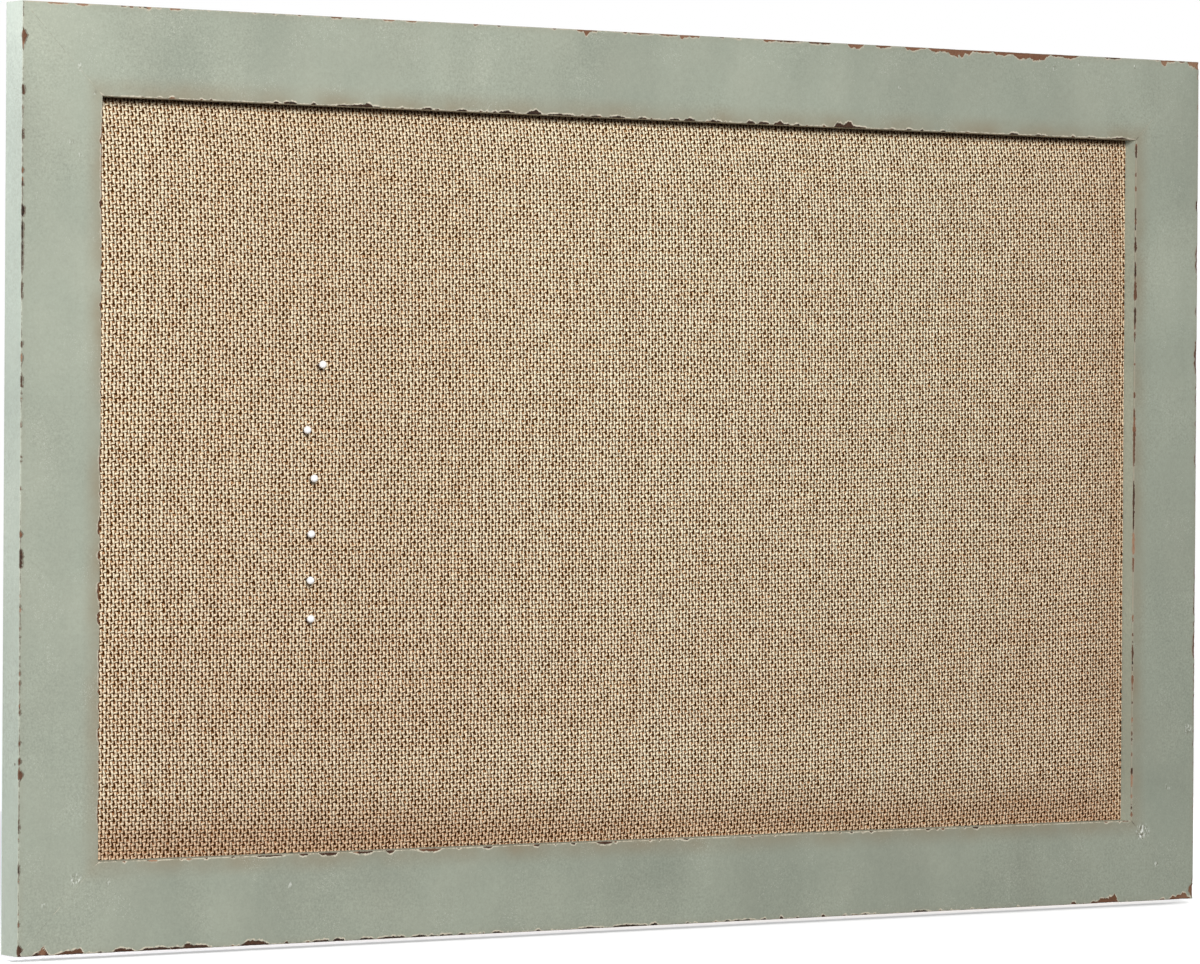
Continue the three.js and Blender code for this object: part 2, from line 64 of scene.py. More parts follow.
sight = Vector((
    math.sin(CAMERA_YAW) * math.cos(CAMERA_PITCH),
    math.cos(CAMERA_YAW) * math.cos(CAMERA_PITCH),
    math.sin(CAMERA_PITCH),
))
level_right = Vector((math.cos(CAMERA_YAW), -math.sin(CAMERA_YAW), 0.0))
level_up = level_right.cross(sight)
camera_right = level_right * math.cos(CAMERA_ROLL) + level_up * math.sin(CAMERA_ROLL)
camera_up = level_up * math.cos(CAMERA_ROLL) - level_right * math.sin(CAMERA_ROLL)
camera_turn = Matrix((camera_right, camera_up, -sight)).transposed().to_4x4()
camera_data = bpy.data.cameras.new("camera")
camera_data.sensor_width = 36.0
camera_data.sensor_fit = "HORIZONTAL"
camera_data.lens = CAMERA_LENS
camera_data.clip_start = 0.1
camera_data.clip_end = 100.0
camera = bpy.data.objects.new("camera", camera_data)
camera.matrix_world = Matrix.Translation(CAMERA_PLACE) @ camera_turn
bpy.context.scene.collection.objects.link(camera)
bpy.context.scene.camera = camera
bpy.context.scene.view_settings.view_transform = "Standard"


# Studio: a white room behind the camera's view, and a pale floor just under the board's bottom edge.
# The background's white is the camera's alone. The lamps light the board at a plain level.
FLOOR_DROP = 0.0033
FLOOR_HALF = 1.1
ROOM_LIGHT = 0.14
FLOOR_WHITE = 0.44
MM = 0.001


class Finish:
    """A finish mixed from nodes. Each method adds nodes and hands back their result."""

    def __init__(self, name, tree=None):
        self.material = None
        if tree is None:
            self.material = bpy.data.materials.new(name)
            self.material.use_nodes = True
            tree = self.material.node_tree
        self.tree = tree
        self.tree.nodes.clear()

    def node(self, kind, *values, **settings):
        made = self.tree.nodes.new("ShaderNode" + kind)
        for key, value in settings.items():
            setattr(made, key, value)
        for socket, value in enumerate(values):
            self.fill(made.inputs[socket], value)
        return made

    def fill(self, socket, value):
        if isinstance(value, bpy.types.NodeSocket):
            self.tree.links.new(value, socket)
        elif value is not None:
            socket.default_value = value

    def math(self, operation, *values):
        return self.node("Math", *values, operation=operation).outputs[0]

    def times(self, first, *others):
        for other in others:
            first = self.math("MULTIPLY", first, other)
        return first

    def plus(self, first, *others):
        for other in others:
            first = self.math("ADD", first, other)
        return first

    def minus(self, first, second):
        return self.math("SUBTRACT", first, second)

    def most(self, first, second):
        return self.math("MAXIMUM", first, second)

    def swing(self, value, amount):
        """Turns a value about a half into one about zero, up to half the amount either way."""
        return self.times(self.minus(value, 0.5), amount)

    def straight_rays(self):
        """1 for the camera's rays and for those mirrored or passed through, which meet the white room."""
        rays = self.node("LightPath").outputs
        return self.plus(rays["Is Camera Ray"], rays["Is Glossy Ray"], rays["Is Transmission Ray"])

    def place(self):
        return self.node("TexCoord").outputs["Object"]

    def stretched(self, vector, scale):
        return self.node("VectorMath", vector, scale, operation="MULTIPLY").outputs[0]

    def measure(self, name):
        return self.node("Attribute", attribute_name=name).outputs["Fac"]

    def cloud(self, vector, scale, detail=2.0, roughness=0.5, distortion=0.0):
        made = self.node("TexNoise", vector)
        made.inputs["Scale"].default_value = scale
        made.inputs["Detail"].default_value = detail
        made.inputs["Roughness"].default_value = roughness
        made.inputs["Distortion"].default_value = distortion
        return made.outputs[0]

    def soft(self, value, start, end, low=0.0, high=1.0):
        return self.node("MapRange", value, start, end, low, high, interpolation_type="SMOOTHSTEP").outputs[0]

    def spread(self, value, start, end, low=0.0, high=1.0):
        return self.node("MapRange", value, start, end, low, high).outputs[0]

    def tint(self, share, under, over, blend_type="MIX"):
        made = self.node("Mix", share, data_type="RGBA", blend_type=blend_type)
        self.fill(made.inputs[6], under)
        self.fill(made.inputs[7], over)
        return made.outputs[2]

    def stain(self, share, colour, over):
        return self.tint(share, colour, over, "MULTIPLY")

    def shade(self, colour, factor):
        return self.stain(1.0, colour, self.node("CombineColor", factor, factor, factor).outputs[0])

    def blend(self, share, under, over):
        """Mixes two plain values."""
        made = self.node("Mix", share, data_type="FLOAT")
        self.fill(made.inputs[2], under)
        self.fill(made.inputs[3], over)
        return made.outputs[0]

    def surface(self, colour, roughness, height, metallic=0.0, specular=0.5):
        """The finished surface. Height is in millimetres."""
        shader = self.node("BsdfPrincipled")
        self.fill(shader.inputs["Base Color"], colour)
        self.fill(shader.inputs["Roughness"], roughness)
        shader.inputs["Metallic"].default_value = metallic
        shader.inputs["Specular IOR Level"].default_value = specular
        bump = self.node("Bump")
        bump.inputs["Strength"].default_value = 1.0
        bump.inputs["Distance"].default_value = MM
        self.fill(bump.inputs["Height"], height)
        self.fill(shader.inputs["Normal"], bump.outputs[0])
        self.node("OutputMaterial", shader.outputs[0])
        return self.material


WHITE = (1.0, 1.0, 1.0, 1.0)
PALE_PAPER = (0.95, 0.95, 0.95, 1.0)
DULL_PAPER = (0.12, 0.12, 0.12, 1.0)
room = bpy.data.worlds.new("white room")
bpy.context.scene.world = room
room.use_nodes = True
air = Finish("air", room.node_tree)
dim_air = air.node("Background", WHITE, ROOM_LIGHT)
white_air = air.node("Background", WHITE, 1.0)
air_mix = air.node("MixShader", air.straight_rays(), dim_air.outputs[0], white_air.outputs[0])
air.node("OutputWorld", air_mix.outputs[0])

paper = Finish("pale floor")
dull = paper.node("BsdfDiffuse", DULL_PAPER)
pale = paper.node("BsdfDiffuse", PALE_PAPER)
glow = paper.node("Emission", WHITE, FLOOR_WHITE)
bright = paper.node("AddShader", pale.outputs[0], glow.outputs[0])
paper_mix = paper.node("MixShader", paper.straight_rays(), dull.outputs[0], bright.outputs[0])
paper.node("OutputMaterial", paper_mix.outputs[0])

bm = bmesh.new()
bmesh.ops.create_grid(bm, x_segments=1, y_segments=1, size=FLOOR_HALF)
bmesh.ops.translate(bm, verts=bm.verts, vec=(0.0, 0.0, cad_low.z - FLOOR_DROP))
floor_mesh = bpy.data.meshes.new("floor")
bm.to_mesh(floor_mesh)
bm.free()
floor_mesh.materials.append(paper.material)
floor = bpy.data.objects.new("floor", floor_mesh)
bpy.context.scene.collection.objects.link(floor)


def lamp(name, place, aim, width, height, power, colour=(1.0, 1.0, 1.0), mirrored=True):
    data = bpy.data.lights.new(name, "AREA")
    data.shape = "RECTANGLE"
    data.size = width
    data.size_y = height
    data.energy = power
    data.color = colour
    light = bpy.data.objects.new(name, data)
    way = Vector(aim) - Vector(place)
    light.matrix_world = Matrix.Translation(place) @ way.to_track_quat("-Z", "Y").to_matrix().to_4x4()
    light.visible_camera = False
    light.visible_glossy = mirrored
    bpy.context.scene.collection.objects.link(light)


BOARD_MIDDLE = (0.0, -0.0237, -0.159)
lamp("key lamp", (-1.10, -2.45, 0.85), BOARD_MIDDLE, 1.0, 0.8, 88.0)
lamp("side lamp", (-1.00, -0.06, -0.32), (-0.406, -0.015, -0.32), 0.15, 0.15, 2.95, (0.90, 0.94, 1.0))
lamp("left edge lamp", (-0.72, 0.12, 0.25), (-0.406, -0.015, 0.05), 0.2, 0.2, 2.45, (0.83, 0.865, 1.0))
lamp("rear lamp", (0.6, 2.4, -0.30), BOARD_MIDDLE, 1.2, 0.2, 36.0, mirrored=False)
lamp("right side lamp", (1.30, 0.06, -0.16), (0.406, -0.01, -0.14), 0.2, 0.2, 3.4, mirrored=False)
lamp("floor lamp", (1.0, 0.7, 0.55), (1.0, 0.7, -0.4), 0.6, 0.6, 2.6, mirrored=False)


# Frame: two rails and two stiles of 49 by 18.5 mm stock with a rabbet behind the lip, mitred at the corners.
# Painted sage green over a cream undercoat, then rubbed and chipped along the arrises down to brown wood.
FACE_WIDTH = 49.0
STOCK_THICKNESS = 18.5
LIP_DEPTH = 10.0
RABBET_WIDTH = 10.0
ARRIS_ROUND = 0.6
MITRE_PLAY = 0.01
RAIL_LENGTH = 812.0
STILE_LENGTH = 508.0
FRONT_Y = -23.7
BOARD_MIDDLE_Z = -159.0
EDGE_ON = 0.1
FACE_SKIN = 0.8
FACE_LINES = (1.2, 1.8, 2.5, 3.4, 4.6, 6.5, 10, 17, 24.5, 32, 39, 42.5, 44.4, 45.6, 46.5, 47.2, 47.8)
SIDE_LINES = (1.2, 1.8, 2.6, 4.0, 7.0, 10.0, 14.0, 17.3)
CHIP_STEP = 1.25
PROFILE_STEP = 0.25
CHIP_LIMIT = 3.0
FLECK_LENGTH = (0.8, 3.5)
FLECK_REACH = (0.25, 0.75)
FLECK_LIGHT = (0.0, 0.6)
MITRE_WEAR = (-1.1, -0.35)
OUTER_WRAP = 0.4
INNER_WRAP = 0.7
BITE_LEAST = 0.12
BITE_GROWTH = 0.3
BITE_MOST = 0.45
SIDE_INSET = 20.0
RAW_START = 2.5
RAW_LIMIT = 6.0

# Chips along an arris: start and end in mm, reach in tenths of a mm, and how light their wood is, in percent.
# The darkest, on the arrises that face down, are partly painted shade.
TOP_OUTER_CHIPS = (
    (-391, -378, 7, 80), (-372, -366, 9, 80), (-330, -327, 16, 85), (-316, -309, 12, 60),
    (-303, -301, 6, 60), (-214, -206, 7, 50), (-180, -172, 8, 75), (-165, -158, 8, 70), (-120, -117, 6, 40),
    (-51, -38, 10, 50), (-46, -42, 28, 50), (-19, -16, 5, 40), (-13, 0, 8, 50), (6, 20, 8, 50),
    (20, 27, 23, 60), (27, 35, 9, 50), (79, 88, 12, 50), (88, 106, 7, 20), (111, 128, 9, 25),
    (140, 152, 21, 55), (160, 172, 14, 40), (182, 193, 17, 55), (199, 212, 18, 50), (211, 232, 34, 50),
    (221, 230, 44, 50), (230, 247, 12, 50), (247, 263, 22, 50), (262, 290, 31, 50), (290, 303, 10, 40),
    (300, 311, 18, 50), (335, 345, 8, 15), (376, 381, 30, 75), (381, 388, 8, 60), (397, 406, 29, 75),
)
TOP_INNER_CHIPS = (
    (-316, -312, 7, 70), (-250, -247, 9, 5), (-243, -235, 9, 5), (-226, -223, 9, 5), (-210, -181, 7, 8),
    (-195, -186, 16, 10), (-168, -166, 7, 5), (-153, -147, 10, 5), (-131, -125, 10, 5), (-112, -110, 8, 5),
    (-103, -92, 10, 5), (-84, -74, 18, 5), (-70, -52, 8, 8), (-41, -35, 7, 5), (-28, -17, 9, 5),
    (-8, -4, 7, 5), (14, 21, 10, 5), (24, 32, 11, 8), (42, 50, 10, 8), (68, 74, 12, 8), (76, 84, 14, 8),
    (87, 94, 17, 10), (102, 106, 8, 5), (130, 152, 11, 10), (131, 137, 22, 10), (138, 144, 28, 12),
    (183, 188, 6, 5), (194, 196, 10, 5), (208, 213, 5, 5), (260, 267, 8, 8), (280, 284, 6, 5),
    (307, 310, 7, 30), (338, 352, 8, 10),
)
BOTTOM_OUTER_CHIPS = (
    (-408, -404, 18, 15), (-397, -387, 16, 10), (-393, -389, 42, 60), (-382, -366, 18, 30),
    (-371, -366, 30, 30), (-348, -335, 16, 15), (-331, -312, 13, 10), (-312, -306, 11, 10),
    (-306, -288, 15, 12), (-304, -299, 28, 15), (-268, -250, 20, 15), (-240, -237, 12, 10),
    (-222, -212, 12, 10), (-209, -201, 11, 5), (-192, -182, 9, 5), (-179, -161, 10, 5), (-158, -147, 10, 5),
    (-146, -143, 9, 5), (-139, -132, 10, 5), (-127, -122, 10, 5), (-104, -97, 8, 5), (-92, -90, 7, 5),
    (-75, -71, 8, 5), (-45, -28, 6, 5), (-22, 1, 9, 5), (4, 9, 10, 5), (56, 60, 9, 5), (61, 78, 5, 5),
    (82, 86, 13, 10), (95, 98, 13, 10), (107, 109, 6, 10), (125, 128, 10, 10), (155, 160, 6, 5),
    (193, 203, 8, 5), (245, 248, 6, 5), (311, 315, 15, 30), (326, 332, 10, 30), (330, 347, 26, 45),
    (338, 347, 46, 45), (380, 384, 12, 60), (388, 404, 20, 50), (395, 402, 27, 60),
)
BOTTOM_INNER_CHIPS = (
    (-326, -320, 8, 80), (-303, -299, 9, 80), (-258, -240, 7, 8), (-231, -225, 12, 10),
    (-218, -206, 13, 10), (-194, -183, 12, 10), (-175, -169, 12, 10), (-154, -138, 11, 30),
    (-111, -104, 7, 10), (-76, -72, 10, 10), (-51, -48, 8, 5), (-34, -22, 10, 15), (27, 31, 6, 5),
    (145, 148, 6, 10), (160, 163, 8, 10), (201, 205, 6, 5), (236, 241, 10, 5),
)
LEFT_OUTER_CHIPS = (
    (73, 80, 18, 30), (45, 51, 11, 15), (21, 27, 7, 10), (-4, 0, 6, 10), (-20, -13, 10, 5),
    (-32, -22, 7, 5), (-49, -31, 6, 5), (-63, -54, 7, 10), (-89, -85, 7, 10), (-97, -92, 6, 60),
    (-111, -104, 13, 10), (-131, -129, 6, 30), (-148, -146, 8, 20), (-190, -187, 9, 40),
    (-207, -196, 12, 8), (-269, -266, 6, 40), (-301, -298, 9, 20), (-311, -307, 11, 20),
    (-319, -314, 20, 25), (-348, -340, 6, 10), (-366, -364, 5, 10), (-413, -407, 19, 15),
)
LEFT_INNER_CHIPS = (
    (-31, 40, 5.5, 50), (20, 24, 14, 50), (-15, -9, 14, 20), (-54, -48, 12, 30), (-69, -64, 10, 30),
    (-105, -103, 7, 30), (-156, -141, 9, 35), (-190, -180, 12, 30), (-202, -197, 11, 30),
    (-224, -214, 12, 35), (-237, -230, 14, 30), (-257, -250, 8, 30), (-268, -266, 8, 30),
    (-283, -279, 7, 30), (-299, -292, 10, 30), (-345, -330, 6, 30),
)
RIGHT_OUTER_CHIPS = (
    (90, 96, 26, 75), (84, 87, 8, 70), (49, 51, 8, 10), (4, 11, 13, 15), (-34, -17, 15, 30),
    (-60, -53, 8, 20), (-95, -74, 15, 30), (-112, -106, 7, 15), (-127, -123, 6, 15), (-136, -133, 6, 20),
    (-152, -143, 11, 20), (-219, -211, 8, 15), (-227, -221, 9, 15), (-241, -229, 10, 20),
    (-250, -244, 9, 20), (-268, -250, 13, 35), (-277, -270, 6, 20), (-300, -288, 6, 15),
    (-321, -317, 7, 10), (-332, -329, 5, 10), (-413, -404, 26, 60),
)
RIGHT_INNER_CHIPS = (
    (35, 43, 10, 15), (23, 27, 5, 30), (-6, 5, 6, 15), (-22, -12, 8, 15), (-37, -27, 8, 10),
    (-51, -39, 11, 30), (-67, -54, 8, 10), (-76, -69, 6, 20), (-110, -105, 8, 30), (-151, -115, 9, 25),
    (-131, -120, 12, 45), (-190, -159, 8, 10), (-204, -190, 10, 75), (-214, -205, 8, 40),
    (-242, -240, 6, 60), (-253, -251, 6, 20), (-268, -258, 7, 20), (-283, -276, 8, 50), (-294, -292, 7, 20),
    (-305, -302, 7, 80), (-316, -314, 7, 10), (-336, -332, 10, 10), (-344, -336, 9, 85),
    (-351, -348, 9, 85), (-362, -359, 10, 60),
)


def ragged(count, every, seed):
    """A wandering line from 0 to 1, with a new random height every few steps."""
    dice = np.random.default_rng(seed)
    knots = dice.random(count // every + 3)
    return np.interp(np.arange(count) / every, np.arange(len(knots)), knots)


def chip_profile(length, middle, chips, rub, bareness, tone, small_chips, seed):
    """How far bare wood reaches from an arris, and how light it is, every quarter millimetre along it."""
    count = int(length / PROFILE_STEP) + 1
    along = middle - length / 2 + np.arange(count) * PROFILE_STEP
    dice = random.Random(seed)
    rough = 0.35 + 0.8 * ragged(count, 8, seed) + 0.6 * ragged(count, 3, seed + 1)
    wander = 1.6 * ragged(count, 30, seed + 2) - 0.8 + 0.8 * (ragged(count, 5, seed + 3) - 0.5)
    reach = rub * wander + bareness
    light = tone + 0.3 * ragged(count, 60, seed + 4)
    flecks = []
    for _ in range(int(small_chips * length / 100)):
        start = dice.uniform(along[0], along[-1])
        end = start + dice.uniform(*FLECK_LENGTH)
        flecks.append((start, end, dice.uniform(*FLECK_REACH), dice.uniform(*FLECK_LIGHT)))
    for start, end, deep, paleness in [(a, b, c / 10, d / 100) for a, b, c, d in chips] + flecks:
        share = np.clip((along - start) / (end - start), 0, 1)
        bay = deep * (1 - (2 * share - 1) ** 2) ** 0.4 * rough
        deeper = (share > 0) & (share < 1) & (bay > reach)
        reach[deeper] = bay[deeper]
        light[deeper] = paleness
    return along, reach, light


def piece(bm, name, material, smooth_under=None, closed=True):
    """Turns mesh work in millimetres into a finished piece of the board, in the board's own frame."""
    if closed:
        bmesh.ops.recalc_face_normals(bm, faces=bm.faces)
    bmesh.ops.scale(bm, verts=bm.verts, vec=(MM, MM, MM))
    mesh = bpy.data.meshes.new(name)
    bm.to_mesh(mesh)
    bm.free()
    mesh.materials.append(material)
    if smooth_under is not None:
        mesh.shade_smooth()
        mesh.set_sharp_from_angle(angle=math.radians(smooth_under))
    made = bpy.data.objects.new(name, mesh)
    bpy.context.scene.collection.objects.link(made)
    return made


def verts_of(parts):
    return [part for part in parts if isinstance(part, bmesh.types.BMVert)]


def edges_of(parts):
    return [part for part in parts if isinstance(part, bmesh.types.BMEdge)]


def pushed(bm, faces, way):
    """Extrudes faces along a way, and gives back all that grew."""
    grown = bmesh.ops.extrude_face_region(bm, geom=faces)["geom"]
    bmesh.ops.translate(bm, verts=verts_of(grown), vec=way)
    return grown


def frame_member(name, length, outer_middle, along, inward, outer, inner, wall_painted_shade, wall_painted_light, seed, paint):
    """One length of stock: extruded, mitred, its arrises rounded, ruled with lines and chipped."""
    away = Vector((0.0, 1.0, 0.0))
    rabbet = FACE_WIDTH - RABBET_WIDTH
    bm = bmesh.new()
    section = (
        (0, 0), (FACE_WIDTH, 0), (FACE_WIDTH, LIP_DEPTH), (rabbet, LIP_DEPTH),
        (rabbet, STOCK_THICKNESS), (0, STOCK_THICKNESS),
    )
    start = outer_middle - along * (length / 2)
    end_face = bm.faces.new([bm.verts.new(start + inward * t + away * d) for t, d in section])
    pushed(bm, [end_face], along * length)

    def cut(place, normal, near=1e-4, clear=False):
        parts = bm.verts[:] + bm.edges[:] + bm.faces[:]
        bmesh.ops.bisect_plane(bm, geom=parts, dist=near, plane_co=place, plane_no=normal, clear_outer=clear)

    def spot(vertex):
        """A vertex's place along the stock, in from its outer edge and back from its face."""
        offset = vertex.co - outer_middle
        return offset.dot(along), offset.dot(inward), offset.dot(away)

    def long_edges():
        for edge in bm.edges:
            way = edge.verts[1].co - edge.verts[0].co
            if way.length > length / 2 and abs(way.normalized().dot(along)) > 0.9999:
                yield edge

    for side in (-1, 1):
        corner = outer_middle + along * (side * (length / 2 - MITRE_PLAY))
        cut(corner, along * side + inward, near=1e-5, clear=True)
        bmesh.ops.holes_fill(bm, edges=[edge for edge in bm.edges if edge.is_boundary], sides=0)
    bmesh.ops.recalc_face_normals(bm, faces=bm.faces)
    arrises = []
    for edge in long_edges():
        _, t, d = spot(edge.verts[0])
        at_front = d < EDGE_ON and (t < EDGE_ON or t > FACE_WIDTH - EDGE_ON)
        if at_front or (t < EDGE_ON and d > STOCK_THICKNESS - EDGE_ON):
            arrises.append(edge)
    bmesh.ops.bevel(
        bm, geom=arrises, offset=ARRIS_ROUND, segments=3, profile=0.5, affect="EDGES", material=-1
    )
    for line in FACE_LINES:
        cut(outer_middle + inward * line, inward)
    for line in SIDE_LINES:
        cut(outer_middle + away * line, away)
    bmesh.ops.subdivide_edges(bm, edges=list(long_edges()), cuts=int(length / CHIP_STEP))
    bm.normal_update()

    chip_layer, light_layer, cream_layer, inset_layer, joint_layer, wall_light_layer, raw_layer = [
        bm.verts.layers.float.new(layer)
        for layer in ("chip", "wood_tone_and_shade", "cream", "inset", "joint", "wall_painted_light", "raw")
    ]
    middle = outer_middle.x if abs(along.x) > 0.5 else outer_middle.z
    outer_cream, *outer_wear = outer
    inner_cream, *inner_wear = inner
    outer_profile = chip_profile(length, middle, *outer_wear, seed)
    inner_profile = chip_profile(length, middle, *inner_wear, seed + 50)

    def chipped(where, profile, distance):
        """How far inside a chip a place is, in mm, for its distance from the arris."""
        return float(np.interp(where, profile[0], profile[1])) - distance + ARRIS_ROUND * 0.4

    mitre_dice = random.Random(seed)
    for vertex in bm.verts:
        s, t, d = spot(vertex)
        where = s + middle
        outer_chip = chipped(where, outer_profile, max(t, d / OUTER_WRAP))
        inner_chip = chipped(where, inner_profile, max(FACE_WIDTH - t, d / INNER_WRAP))
        if d > LIP_DEPTH + EDGE_ON:
            inner_chip = -CHIP_LIMIT
        chip = max(outer_chip, inner_chip)
        if outer_chip > inner_chip:
            cream, profile = outer_cream, outer_profile
        else:
            cream, profile = inner_cream, inner_profile
        vertex[light_layer] = float(np.interp(where, profile[0], profile[2]))
        vertex[cream_layer] = cream
        on_mitre = length / 2 - t - abs(s) < EDGE_ON
        on_wall = t > FACE_WIDTH - EDGE_ON
        if on_mitre and d < EDGE_ON:
            chip = max(chip, mitre_dice.uniform(*MITRE_WEAR))
        chip = max(-CHIP_LIMIT, min(CHIP_LIMIT, chip))
        vertex[chip_layer] = chip
        vertex[wall_light_layer] = 1.0
        if on_wall and d > FACE_SKIN:
            # Painted shade: the wall's inset sets how much brown painted shade it gets, the most under the
            # top rail.
            vertex[inset_layer] = wall_painted_shade
            # Painted light: each lip's inner wall takes its member's painted light, which makes the right
            # stile's wall lighter.
            vertex[wall_light_layer] = wall_painted_light
        elif t < EDGE_ON and d > FACE_SKIN:
            vertex[inset_layer] = SIDE_INSET
        else:
            vertex[inset_layer] = t
        if d > STOCK_THICKNESS - EDGE_ON:
            vertex[raw_layer] = min(t - RAW_START, RAW_LIMIT)
            vertex[joint_layer] = 1.0 if on_mitre else 0.0
        elif t < FACE_SKIN or d < FACE_SKIN:
            vertex[raw_layer] = -1.0 - (STOCK_THICKNESS - d)
        elif on_wall:
            vertex[raw_layer] = min(0.0, d - LIP_DEPTH) - 0.5
        else:
            vertex[raw_layer] = min(FACE_WIDTH - t - 1.0, RAW_LIMIT)
        if chip > 0:
            depth = 0.6 + 0.8 * noise.noise(vertex.co * 0.7)
            vertex.co -= vertex.normal * (BITE_LEAST + min(BITE_GROWTH * chip, BITE_MOST) * depth)
    return piece(bm, name, paint, smooth_under=38)


# The colours of the paint, of what has rubbed into it, and of the wood under it.
DARK_SAGE = (0.307, 0.341, 0.276, 1.0)
PALE_SAGE = (0.350, 0.367, 0.295, 1.0)
CREAM = (0.72, 0.66, 0.52, 1.0)
GRIME = (0.10, 0.085, 0.06, 1.0)
BROWN_GLAZE = (0.27, 0.225, 0.15, 1.0)
PALE_FLECK = (0.62, 0.63, 0.54, 1.0)
DARK_DOT = (0.10, 0.08, 0.055, 1.0)
SCUFF_WHITE = (0.85, 0.86, 0.80, 1.0)
SCRAPE_BROWN = (0.12, 0.10, 0.07, 1.0)
# Shaded wood is painted shade, for the darkest chips on arrises that face down.
SHADED_WOOD = (0.012, 0.007, 0.005, 1.0)
BROWN_WOOD = (0.19, 0.090, 0.050, 1.0)
PALE_WOOD = (0.40, 0.25, 0.16, 1.0)
DARK_PINE = (0.40, 0.25, 0.13, 1.0)
PALE_PINE = (0.60, 0.43, 0.26, 1.0)
GLUE = (0.11, 0.065, 0.035, 1.0)

# White scuffs in the paint: place across and up, and size, in mm, and how strong they are.
SCUFFS = (
    (366, -371, 6.5, 1.0), (377, -391, 2.0, 0.8), (368, -398, 1.6, 0.6), (401, -310, 4.0, 0.6),
    (386, -344, 3.0, 0.5), (-371, -373, 4.5, 0.6), (-351, -375, 2.5, 0.4), (-237, -381, 2.5, 0.4),
    (-390, -386, 2.5, 0.3), (-371, 61, 3.0, 0.3), (-362, 48, 1.8, 0.4), (-376, 21, 2.2, 0.4),
    (-371, 14, 1.8, 0.3), (294, 87, 2.2, 0.6), (313, 90, 1.8, 0.6), (356, 90, 1.8, 0.6), (178, 71, 1.2, 0.6),
)
# Hairline cracks in the paint where a mitre has opened: the inner corner, the way it runs, and length in mm.
CRACKS = (
    (357, -364, 0.7071, -0.7071, 6.0), (357, 46, 0.7071, 0.7071, 3.5), (-357, -364, -0.7071, -0.7071, 3.0),
)


